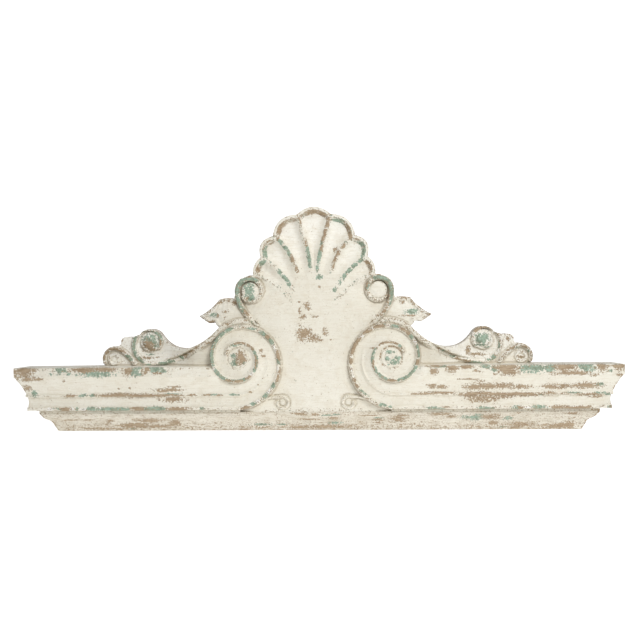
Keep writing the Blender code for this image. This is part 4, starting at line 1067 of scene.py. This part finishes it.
def worn_edge(outline):
    """The part of the outline whose arris is rounded: all but the joint and the centre line"""
    return outline[(outline[:, 1] > JOINT_HEIGHT + MERGE) & (outline[:, 0] > MERGE)]


def edge_lines(outline):
    """A line just inside the outline, for its rounded arris"""
    edge = worn_edge(outline)
    line = beside(edge, EDGE_LINE)
    keep = (nearest(edge, line)[0] > EDGE_LINE_SHARE * abs(EDGE_LINE)) & inside(outline, line)
    return [run for run in runs_of(line, keep) if len(run) > 1]


def rounded(outline, points, depth):
    """Depth with the outline's arris worn round"""
    gap = nearest(worn_edge(outline), points)[0]
    share = np.clip(1 - gap / EDGE_ROUND, 0, 1)
    return depth - EDGE_ROUND * (1 - np.sqrt(1 - share**2))


def tooled(points, depths):
    """Depths with grooves beside the shell's ridges and the tendrils, and faint gouge marks"""
    reach = np.hypot(points[:, 0] * SHELL_SPREAD, points[:, 1] - CORNICE_HEIGHT)
    bend = lattice(points, TOOL_LENGTH * 2, TOOL_SEED) * TOOL_LENGTH
    mark = TOOL_MARK * (np.sin((reach + bend) / TOOL_LENGTH * 2 * math.pi) + 1)
    gap = np.min([nearest(path, points)[0] for path in shell_ridges()], axis=0)
    mark += GROOVE_DEPTH * np.clip(1 - abs(gap - SHELL_RIDGE) / GROOVE_WIDTH, 0, 1)
    start = smooth((reach - SHELL_FADE[0] - TOOL_LENGTH / 2) / TOOL_LENGTH)
    rim_gap = nearest(shell_edge(), points)[0]
    start *= smooth((rim_gap - SHELL_RIM) / SHELL_RIM_WALL)
    mark *= start * (points[:, 1] > CORNICE_HEIGHT + EAR_PULL[1])
    gap = nearest(tendril().path, points)[0] - TENDRIL_HALF_WIDTH - WALL
    ground = volute_place(points)[1] > VOLUTE_RADIUS + WALL
    mark += TENDRIL_GROOVE * np.clip(1 - abs(gap) / GROOVE_WIDTH, 0, 1) * ground
    return depths - mark


def in_parts(function, points, *extra):
    """A function of many points, worked out some thousands at a time"""
    pieces = np.array_split(points, len(points) // POINTS_AT_ONCE + 1)
    return np.concatenate([function(piece, *extra) for piece in pieces])


def half_surface():
    """Places, depths and faces of the right half's front, and how far its features cover it"""
    strands = (volute_rim(), ear_rim(), side_strand(), curl_rim(), tendril())
    crest = resampled(crest_outline(), CREST_STEP)
    middle = np.arange(CORNICE_HEIGHT + SHELL_TOP, JOINT_HEIGHT, -2 * FIELD_GRID)[1:-1]
    outline = np.concatenate((crest, [(0, height) for height in middle]))
    lines = fold_lines(strands, outline) + edge_lines(outline)
    points, edges = [*outline], [(i, (i + 1) % len(outline)) for i in range(len(outline))]
    for line in lines:
        first = len(points)
        points += [*line]
        edges += [(first + i, first + i + 1) for i in range(len(line) - 1)]
    points += [*infill(outline, lines)]
    flat, _, faces, *_ = delaunay_2d_cdt([Vector(point) for point in points], edges,
                                         [list(range(len(outline)))], 1, MERGE)
    places = np.array([tuple(point) for point in flat])
    depths = in_parts(relief, places, strands)
    depths = rounded(outline, places, tooled(places, depths))
    features = {name: in_parts(mask, places) for name, mask in feature_masks(strands).items()}
    return places, depths, np.array(faces), features


def boundary(faces):
    """Edges that only one face has, in the face's direction"""
    edges = np.concatenate((faces[:, [0, 1]], faces[:, [1, 2]], faces[:, [2, 0]]))
    known = {tuple(edge) for edge in edges}
    return [edge for edge in known if edge[::-1] not in known]


def whole_mesh(places, depths, faces):
    """Vertices and faces of the closed crown, both halves, then the right half's front vertex
    that each one comes from, and whether it is on the front"""
    count = len(places)
    half = np.stack((places[:, 0], -depths, places[:, 1] - DROP), 1)
    half[np.abs(half[:, 0]) < MERGE, 0] = 0
    outer = [edge for edge in boundary(faces) if half[list(edge), 0].max() > 0]
    verts, all_faces = [*half], [tuple(face) for face in faces]
    names = {}
    for ring in range(1, WALL_RINGS + 1):
        for vertex in {v for edge in outer for v in edge}:
            names[vertex, ring] = len(verts)
            x, y, z = half[vertex]
            verts.append((x, y * (1 - ring / WALL_RINGS), z))
    for vertex in {v for edge in outer for v in edge}:
        names[vertex, 0] = vertex
    for start, end in outer:
        for ring in range(WALL_RINGS):
            all_faces.append((names[end, ring], names[start, ring], names[start, ring + 1],
                              names[end, ring + 1]))
    after = {names[start, WALL_RINGS]: names[end, WALL_RINGS] for start, end in outer}
    first = next(start for start in after if start not in set(after.values()))
    loop = [first]
    while loop[-1] in after:
        loop.append(after[loop[-1]])
    corners = [Vector((verts[i][0], verts[i][2])) for i in loop]
    edges = [(i, (i + 1) % len(loop)) for i in range(len(loop))]
    _, _, backs, origins, *_ = delaunay_2d_cdt(corners, edges, [list(range(len(loop)))], 1,
                                               BACK_MERGE)
    for face in backs:
        back = [loop[origins[i][0]] for i in face]
        all_faces.append(tuple(back[::-1]))
    verts = np.array(verts)
    mirrored = verts * (-1, 1, 1)
    keep = verts[:, 0] > 0
    index = np.where(keep, len(verts) + np.cumsum(keep) - 1, np.arange(len(verts)))
    flipped = [tuple(int(index[i]) for i in face[::-1]) for face in all_faces]
    source = np.arange(len(verts))
    for (vertex, _), copy in names.items():
        source[copy] = vertex
    front = np.arange(len(verts)) < count
    whole = [np.concatenate((half, half[keep])) for half in (source, front)]
    return np.concatenate((verts, mirrored[keep])), all_faces + flipped, *whole


def make_object(name, verts, faces, material, node):
    """A mesh piece that rides on the root body and stands for a CAD node"""
    mesh = bpy.data.meshes.new(name)
    mesh.from_pydata([tuple(vert) for vert in verts], [], faces)
    mesh.update()
    mesh.shade_smooth()
    mesh.set_sharp_from_angle(angle=math.radians(SHARP_ANGLE))
    piece = bpy.data.objects.new(name, mesh)
    bpy.context.scene.collection.objects.link(piece)
    mesh.materials.append(material)
    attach(piece, "root")
    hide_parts(node)
    return piece


def feature_masks(strands):
    """Ways to tell, for points of the right half, how far each lies on a named feature"""
    rim, ear, side, curl, _ = strands

    def ring(points):
        """The wall round the eye of the big volute"""
        reach = np.hypot(*(points - VOLUTE).T)
        return (abs(reach - EYE_DISC_RADIUS - EYE_RING_OUT) < EYE_RING_HALF_WIDTH) * 1.0

    def lip(points):
        """The inner lip of the shell's rim"""
        gap = nearest(shell_edge(), points)[0]
        return smooth((gap - LIP[0]) / LIP_FADE) * smooth((LIP[1] - gap) / LIP_FADE)

    def ridge(points):
        """The ridges between the shell's lobes"""
        gap = np.min([nearest(path, points)[0] for path in shell_ridges()], axis=0)
        return smooth((RIDGE_WEAR - gap) / LIP_FADE)

    def fillet(points):
        """The fillet at the foot of the crown moulding"""
        above = points[:, 1] - SOFFIT_HEIGHT
        return ((above > 0) & (above < FILLET_HEIGHT + CREASE)) * 1.0

    def leaf(points):
        """The border of the leaf, where the volute and the ear don't cover it"""
        body = inside(body_polygon(rim, ear), points) | (volute_place(points)[1] < VOLUTE_RADIUS)
        border = smooth((LEAF_WEAR - nearest(leaf_polygon()[:-2], points)[0]) / LEAF_BORDER)
        return inside(leaf_polygon(), points) * (1.0 - body) * border

    def end(points):
        """The buds and curls between the small volute and the end of the crest"""
        return ((points[:, 1] > CORNICE_HEIGHT + CREASE) & (points[:, 0] > SCROLL_CENTRE[0])) * 1.0

    return {"leaf": leaf, "end": end, "rim": lambda points: rim.cover(points)[0],
            "ear": lambda points: ear.cover(points)[0],
            "side": lambda points: side.cover(points)[0],
            "curl": lambda points: curl.cover(points)[0],
            "ring": ring, "lip": lip, "ridge": ridge, "fillet": fillet}


def worn(points, kind, features):
    """How far each point lies in a patch where one layer shows, from 0 to 1"""
    result = np.zeros(len(points))
    for (feature, layer), patches in WEAR.items():
        if layer != kind:
            continue
        mask = features[feature] if feature != "any" else 1
        for x, z, wide, high in patches:
            gap = np.hypot((points[:, 0] * 1000 - x) / wide, (points[:, 1] * 1000 - z) / high)
            result = np.maximum(result, np.clip(PATCH_PEAK - PATCH_FALL * gap, 0, 1) * mask)
    return result


def hollowness(mesh, depths):
    """How far each vertex lies behind its neighbours, in mm, spread over a few of them"""
    edges = np.empty(len(mesh.edges) * 2, int)
    mesh.edges.foreach_get("vertices", edges)
    edges = edges.reshape(-1, 2)
    count = np.maximum(np.bincount(edges.ravel(), minlength=len(depths)), 1)

    def spread(values):
        """The mean of each vertex's neighbours"""
        total = np.bincount(edges[:, 0], values[edges[:, 1]], len(depths))
        total += np.bincount(edges[:, 1], values[edges[:, 0]], len(depths))
        return total / count

    wide = depths
    for _ in range(HOLLOW_SPREADS):
        wide = spread(wide)
    gap = (wide - depths) * 1000
    return spread(gap)


def add_attribute(mesh, name, values):
    """Store one number a vertex for the material"""
    attribute = mesh.attributes.new(name, "FLOAT", "POINT")
    attribute.data.foreach_set("value", np.ascontiguousarray(values, dtype=np.float32))


# Materials

class Nodes:
    """Short ways to add and link the nodes of one material"""

    def __init__(self, name):
        self.material = bpy.data.materials.new(name)
        self.material.use_nodes = True
        self.tree = self.material.node_tree
        self.shader = self.tree.nodes["Principled BSDF"]

    def add(self, kind, inputs, output=0, **settings):
        """A new node with its inputs linked or set; gives back one output"""
        node = self.tree.nodes.new(kind)
        for key, value in settings.items():
            setattr(node, key, value)
        for key, value in inputs.items():
            self.put(node.inputs[key], value)
        return node.outputs[output]

    def put(self, socket, value):
        """Link a socket to an output, or set its value"""
        if isinstance(value, bpy.types.NodeSocket):
            self.tree.links.new(value, socket)
        else:
            socket.default_value = value

    def math(self, operation, a, b=0.0, clamp=False):
        """One sum, product or other operation on two values"""
        return self.add("ShaderNodeMath", {0: a, 1: b}, operation=operation, use_clamp=clamp)

    def noise(self, scale, stretch=(1, 1, 1), shift=0.0, detail=4.0, rough=0.6, bend=0.0):
        """Fractal noise from 0 to 1 in object space, features 1 / scale metres long"""
        place = self.add("ShaderNodeMapping", {"Vector": self.place, "Scale": stretch,
                                               "Location": (shift, shift, shift)})
        return self.add("ShaderNodeTexNoise", {"Vector": place, "Scale": scale, "Detail": detail,
                                               "Roughness": rough, "Distortion": bend})

    def step(self, value, low, high):
        """Smooth step from 0 to 1 between two values"""
        return self.add("ShaderNodeMapRange", {"Value": value, "From Min": low, "From Max": high},
                        interpolation_type="SMOOTHSTEP")

    def mix(self, share, low, high):
        """Colour between two colours"""
        return self.add("ShaderNodeMix", {0: share, 6: low, 7: high}, 2, data_type="RGBA")

    def full(self, texture):
        """A noise stretched to fill the range from 0 to 1"""
        return self.step(texture, 0.32, 0.68)

    def blend(self, *parts):
        """Weighted sum of outputs"""
        total = 0.0
        for output, weight in parts:
            total = self.add("ShaderNodeMath", {0: output, 1: weight, 2: total},
                             operation="MULTIPLY_ADD")
        return total

    def known(self, name):
        """The number that the mesh holds for each vertex under a name"""
        return self.add("ShaderNodeAttribute", {}, 2, attribute_name=name)


def colour(red, green, blue):
    """Linear colour from the usual 0 to 255 numbers"""
    return (*[(c / 255 / 12.92 if c < 11 else ((c / 255 + 0.055) / 1.055) ** 2.4)
              for c in (red, green, blue)], 1)


def paint_material(name, cream, streaks, wear):
    """Old cream paint over green paint over bare wood, worn where the patches say"""
    n = Nodes(name)
    n.place = n.add("ShaderNodeTexCoord", {}, 3)
    green, bare, chip = n.known("green"), n.known("bare"), n.known("white")
    hollow, edge = n.known("hollow"), n.known("edge")
    flake = n.full(n.noise(140, detail=6, rough=0.7))
    crumb = n.full(n.noise(290, shift=6.2, detail=2, rough=0.6))
    other = n.full(n.noise(120, shift=3.1, detail=6, rough=0.7))
    streak = n.full(n.noise(50, (1, 1, 8), 1.7, 6, 0.75))
    grain = n.full(n.noise(30, (1, 1, 16), 5.3, 6, 0.65, 0.5))
    fine = n.noise(900, shift=2.3, detail=3)
    cloud = n.full(n.noise(7, shift=4.4, detail=4, rough=0.6))
    mottle = n.full(n.noise(45, shift=8.4, detail=5, rough=0.6))
    speck = n.noise(330, shift=7.9, detail=2, rough=0.5)

    edge_wear = n.step(edge, 0.12, 1.0)
    green_total = n.blend((green, 1.4), (edge_wear, 0.20), (flake, 0.8), (crumb, 0.8))
    green_share = n.step(green_total, 1.52, 1.56)
    rim = n.math("SUBTRACT", n.step(green_total, 1.38, 1.50), n.step(green_total, 1.54, 1.70))
    bare_total = n.blend((bare, 1.4), (edge_wear, 0.35), (rim, 0.25), (other, 0.8 - wear / 2),
                         (streak, wear), (crumb, 0.9))
    bare_share = n.step(bare_total, 1.60 + wear / 4, 1.64 + wear / 4)
    chip_total = n.blend((chip, 1.35), (edge_wear, 0.10), (other, 0.9), (crumb, 0.5))
    chip_share = n.step(chip_total, 1.45, 1.53)
    fleck = n.math("MULTIPLY", n.step(speck, 0.70, 0.74), 0.7)

    base = n.mix(cloud, colour(*cream[0]), colour(*cream[1]))
    # Painted light: recessed carving above the cornice is lightened towards a paler cream
    base = n.mix(n.math("MULTIPLY", n.known("recess_light"), 0.75), base, colour(*LIT_RECESS_CREAM))
    base = n.mix(n.math("MULTIPLY", n.step(mottle, 0.5, 1.0), 0.30), base, colour(*cream[2]))
    base = n.mix(n.math("MULTIPLY", n.step(grain, 0.55, 1.0), streaks), base, colour(*cream[2]))
    # Painted shade and grime: vertices that lie behind their neighbours, in creases and recesses, are
    # darkened towards the last, brown cream
    shade_and_grime = n.math("MULTIPLY", hollow, n.blend((other, 1.0), (0.45, 1.0)))
    base = n.mix(n.math("MULTIPLY", n.step(shade_and_grime, 0.10, 1.6), 0.62), base, colour(*cream[3]))
    base = n.mix(n.math("MULTIPLY", n.step(crumb, 0.6, 1.0), 0.22), base, colour(*cream[2]))
    base = n.mix(fleck, base, colour(*FLECK_BROWN))
    base = n.mix(chip_share, base, colour(*CHIP_WHITE))
    green_paint = n.mix(other, colour(*GREENS[0]), colour(*GREENS[1]))
    base = n.mix(green_share, base, green_paint)
    wood = n.mix(streak, colour(*WOODS[0]), colour(*WOODS[1]))
    base = n.mix(bare_share, base, wood)
    n.put(n.shader.inputs["Base Color"], base)
    rough = n.math("MULTIPLY_ADD", bare_share, 0.18)
    rough.node.inputs[2].default_value = 0.66
    n.put(n.shader.inputs["Roughness"], rough)
    n.shader.inputs["Specular IOR Level"].default_value = 0.35

    height = n.math("SUBTRACT", 1.0, n.math("MULTIPLY", green_share, 0.45))
    height = n.math("SUBTRACT", height, n.math("MULTIPLY", bare_share, 0.6))
    height = n.math("ADD", height, n.math("MULTIPLY", grain, 0.9 * streaks + 0.25))
    height = n.math("ADD", height, n.math("MULTIPLY", mottle, 1.6))
    height = n.math("ADD", height, n.math("MULTIPLY", fine, 0.12))
    bump = n.add("ShaderNodeBump", {"Height": height, "Distance": 0.0006, "Strength": 0.8})
    n.put(n.shader.inputs["Normal"], bump)
    return n.material


# Studio

LENS = 45
SENSOR = 36
CAMERA_PLACE = (0.098, -2.092, 0.200)
CAMERA_YAW = 2.38
CAMERA_ROLL = 0.55
LIGHTS = {"Key": (1.0, 38, (1.0, -2.4, 1.35)), "Above": (1.6, 9, (0.2, -0.9, 2.2))}
LIGHT_AIM = (0, 0, 0.1)
SOFT_LIGHT = 0.38
BACKDROP = 1.2
FLOOR_BOX = (-1.6, -1.2, 1.6, 0.8)
FLOOR_HEIGHT = -0.55
FLOOR_GREY = 0.9
FLOOR_ROUGHNESS = 0.9
FLOOR_GLOW = 0.68
WHITE = (1, 1, 1, 1)


def add_camera(scene):
    """The camera at the photograph's angle"""
    camera = bpy.data.objects.new("Camera", bpy.data.cameras.new("Camera"))
    camera.data.lens = LENS
    camera.data.sensor_width = SENSOR
    yaw = Matrix.Rotation(math.radians(CAMERA_YAW), 4, "Z")
    level = Matrix.Rotation(math.pi / 2, 4, "X")
    roll = Matrix.Rotation(-math.radians(CAMERA_ROLL), 4, "Z")
    camera.matrix_world = Matrix.Translation(CAMERA_PLACE) @ (yaw @ level) @ roll
    scene.collection.objects.link(camera)
    scene.camera = camera


def add_light(scene, name, size, power, place):
    """A soft round light that faces the middle of the piece"""
    light = bpy.data.objects.new(name, bpy.data.lights.new(name, "AREA"))
    light.data.shape = "DISK"
    light.data.size = size
    light.data.energy = power
    light.location = place
    light.rotation_euler = (Vector(LIGHT_AIM) - light.location).to_track_quat("-Z", "Y").to_euler()
    scene.collection.objects.link(light)


def add_surroundings(scene):
    """Even white light, with a brighter white where the camera sees it"""
    world = bpy.data.worlds.new("Surroundings")
    world.use_nodes = True
    scene.world = world
    tree = world.node_tree
    soft = tree.nodes["Background"]
    soft.inputs["Color"].default_value = WHITE
    soft.inputs["Strength"].default_value = SOFT_LIGHT
    plain = tree.nodes.new("ShaderNodeBackground")
    plain.inputs["Color"].default_value = WHITE
    plain.inputs["Strength"].default_value = BACKDROP
    path = tree.nodes.new("ShaderNodeLightPath")
    mix = tree.nodes.new("ShaderNodeMixShader")
    tree.links.new(path.outputs["Is Camera Ray"], mix.inputs[0])
    tree.links.new(soft.outputs[0], mix.inputs[1])
    tree.links.new(plain.outputs[0], mix.inputs[2])
    tree.links.new(mix.outputs[0], tree.nodes["World Output"].inputs[0])


def add_floor(scene):
    """The plain pale floor"""
    left, near_side, right, far_side = FLOOR_BOX
    corners = ((left, near_side), (right, near_side), (right, far_side), (left, far_side))
    mesh = bpy.data.meshes.new("Floor")
    mesh.from_pydata([(x, y, FLOOR_HEIGHT) for x, y in corners], [], [(0, 1, 2, 3)])
    floor = bpy.data.objects.new("Floor", mesh)
    scene.collection.objects.link(floor)
    pale = bpy.data.materials.new("Floor")
    pale.use_nodes = True
    shader = pale.node_tree.nodes["Principled BSDF"]
    shader.inputs["Base Color"].default_value = (FLOOR_GREY, FLOOR_GREY, FLOOR_GREY, 1)
    shader.inputs["Roughness"].default_value = FLOOR_ROUGHNESS
    shader.inputs["Emission Color"].default_value = WHITE
    shader.inputs["Emission Strength"].default_value = FLOOR_GLOW
    mesh.materials.append(pale)


def studio():
    """Camera, lights, white surroundings and floor"""
    scene = bpy.context.scene
    add_camera(scene)
    for name, (size, power, place) in LIGHTS.items():
        add_light(scene, name, size, power, place)
    add_surroundings(scene)
    add_floor(scene)
    scene.view_settings.view_transform = "Standard"


# Bed moulding

def eased(profile, reach):
    """The profile with each corner cut back a little, as worn edges are"""
    result = [profile[0]]
    for before, corner, after in zip(profile, profile[1:], profile[2:]):
        for other in (before, after):
            gap = np.subtract(other, corner)
            size = np.hypot(*gap)
            result.append(tuple(np.add(corner, gap * min(reach, size / 3) / size)))
    return np.array(result + [profile[-1]])


def bed_surface():
    """Vertices and faces of the bed moulding: a fine sweep with returned ends"""
    profile = resampled(eased(bed_profile()[1:-1], BED_EASE), BED_ROW)
    columns = np.linspace(-1, 1, BED_COLUMNS)
    returns = np.linspace(0, 1, BED_RETURNS)[:-1]
    verts = []
    for depth, height in profile:
        reach = END_X + depth
        drawn = np.stack((columns * reach, np.full_like(columns, height)), 1)
        front = -depth + WAVER * (lattice(drawn, WAVER_SIZE, BED_SEED) - 1)
        verts += [(-reach, -depth * share, height - DROP) for share in returns]
        verts += [(x, y, height - DROP) for x, y in zip(columns * reach, front)]
        verts += [(reach, -depth * share, height - DROP) for share in returns[::-1]]
    wide = BED_COLUMNS + 2 * (BED_RETURNS - 1)
    faces = []
    for row in range(len(profile) - 1):
        for i in range(wide - 1):
            a = row * wide + i
            faces.append((a, a + 1, a + wide + 1, a + wide))
    last = (len(profile) - 1) * wide
    faces.append(tuple(range(wide))[::-1])
    faces.append(tuple(last + i for i in range(wide)))
    left = [row * wide for row in range(len(profile))]
    right = [row * wide + wide - 1 for row in range(len(profile))]
    faces.append(tuple(left + right[::-1]))
    verts = np.array(verts)
    verts[:, 1] = np.minimum(verts[:, 1], 0)
    return verts, faces


def dress(piece, features, front, thin=0.0, keen=1.0):
    """Give a piece the attributes that its paint reads: thin is wear all over its front, and
    keen is how strongly its edges and hollows tell"""
    mesh = piece.data
    places = np.empty(len(mesh.vertices) * 3)
    mesh.vertices.foreach_get("co", places)
    places = places.reshape(-1, 3)
    drawn = np.stack((places[:, 0], places[:, 2] + DROP), 1)
    base = np.where(front, thin, SIDE_WEAR)
    base = np.where(~front & (abs(drawn[:, 1] - CORNICE_HEIGHT) < CREASE), TOP_WEAR, base)
    base = np.where(places[:, 1] > -MERGE, 1, base)
    foot = (abs(drawn[:, 0]) > VOLUTE_X) & (abs(drawn[:, 1] - CORNICE_HEIGHT - CREASE) < CREASE / 2)
    facing = front & ~foot
    green = worn(drawn, "green", features)
    for kind in ("green", "bare", "white"):
        patches = worn(drawn, kind, features) * facing
        thinned = np.max([features[name] * shares.get(kind, 0)
                          for name, shares in THIN_WEAR.items()], axis=0)
        patches = np.maximum(patches, thinned * (1 - green))
        add_attribute(mesh, kind, np.maximum(patches, base) if kind == "bare" else patches)
    # Painted shade and grime: hollow grows where a vertex lies behind its neighbours and darkens it in
    # the material; edge grows on arrises and wears them
    gap = keen * hollowness(mesh, -places[:, 1]) * (abs(drawn[:, 1] - CORNICE_HEIGHT) > 2 * CREASE)
    # Painted light: how far each vertex lies in a recess above the cornice, which the material paints
    # paler
    recess_light = smooth((LIT_RECESS_DEPTH + places[:, 1]) / LIT_RECESS_FADE) * (drawn[:, 1] > CORNICE_HEIGHT)
    add_attribute(mesh, "recess_light", recess_light)
    add_attribute(mesh, "hollow", np.maximum(gap, 0))
    add_attribute(mesh, "edge", np.maximum(-gap, 0))


# The two pieces

places, depths, faces, features = half_surface()
verts, faces, source, front = whole_mesh(places, depths, faces)
waver = lattice(verts[:, [0, 2]], WAVER_SIZE, CROWN_SEED) + 1
verts[:, 1] += WAVER * waver * (verts[:, 1] / -TOP_DEPTH)
crown_paint = paint_material("Crown_Paint", CROWN_CREAMS, streaks=0.45, wear=0.5)
crown = make_object("Crown_Carving", verts, faces, crown_paint, "Carved_Crown")
dress(crown, {name: values[source] for name, values in features.items()}, front)

verts, faces = bed_surface()
bed_paint = paint_material("Bed_Paint", SHADED_BED_CREAMS, streaks=0.7, wear=0.8)
bed = make_object("Bed_Carving", verts, faces, bed_paint, "Bed_Moulding")
lower = smooth(1 - (verts[:, 2] + DROP) / BED_MIDDLE_HEIGHT)
dress(bed, {name: 0 for name in features}, abs(verts[:, 0]) < END_X,
      BED_THIN + BED_LOW_THIN * lower, BED_KEEN)

studio()
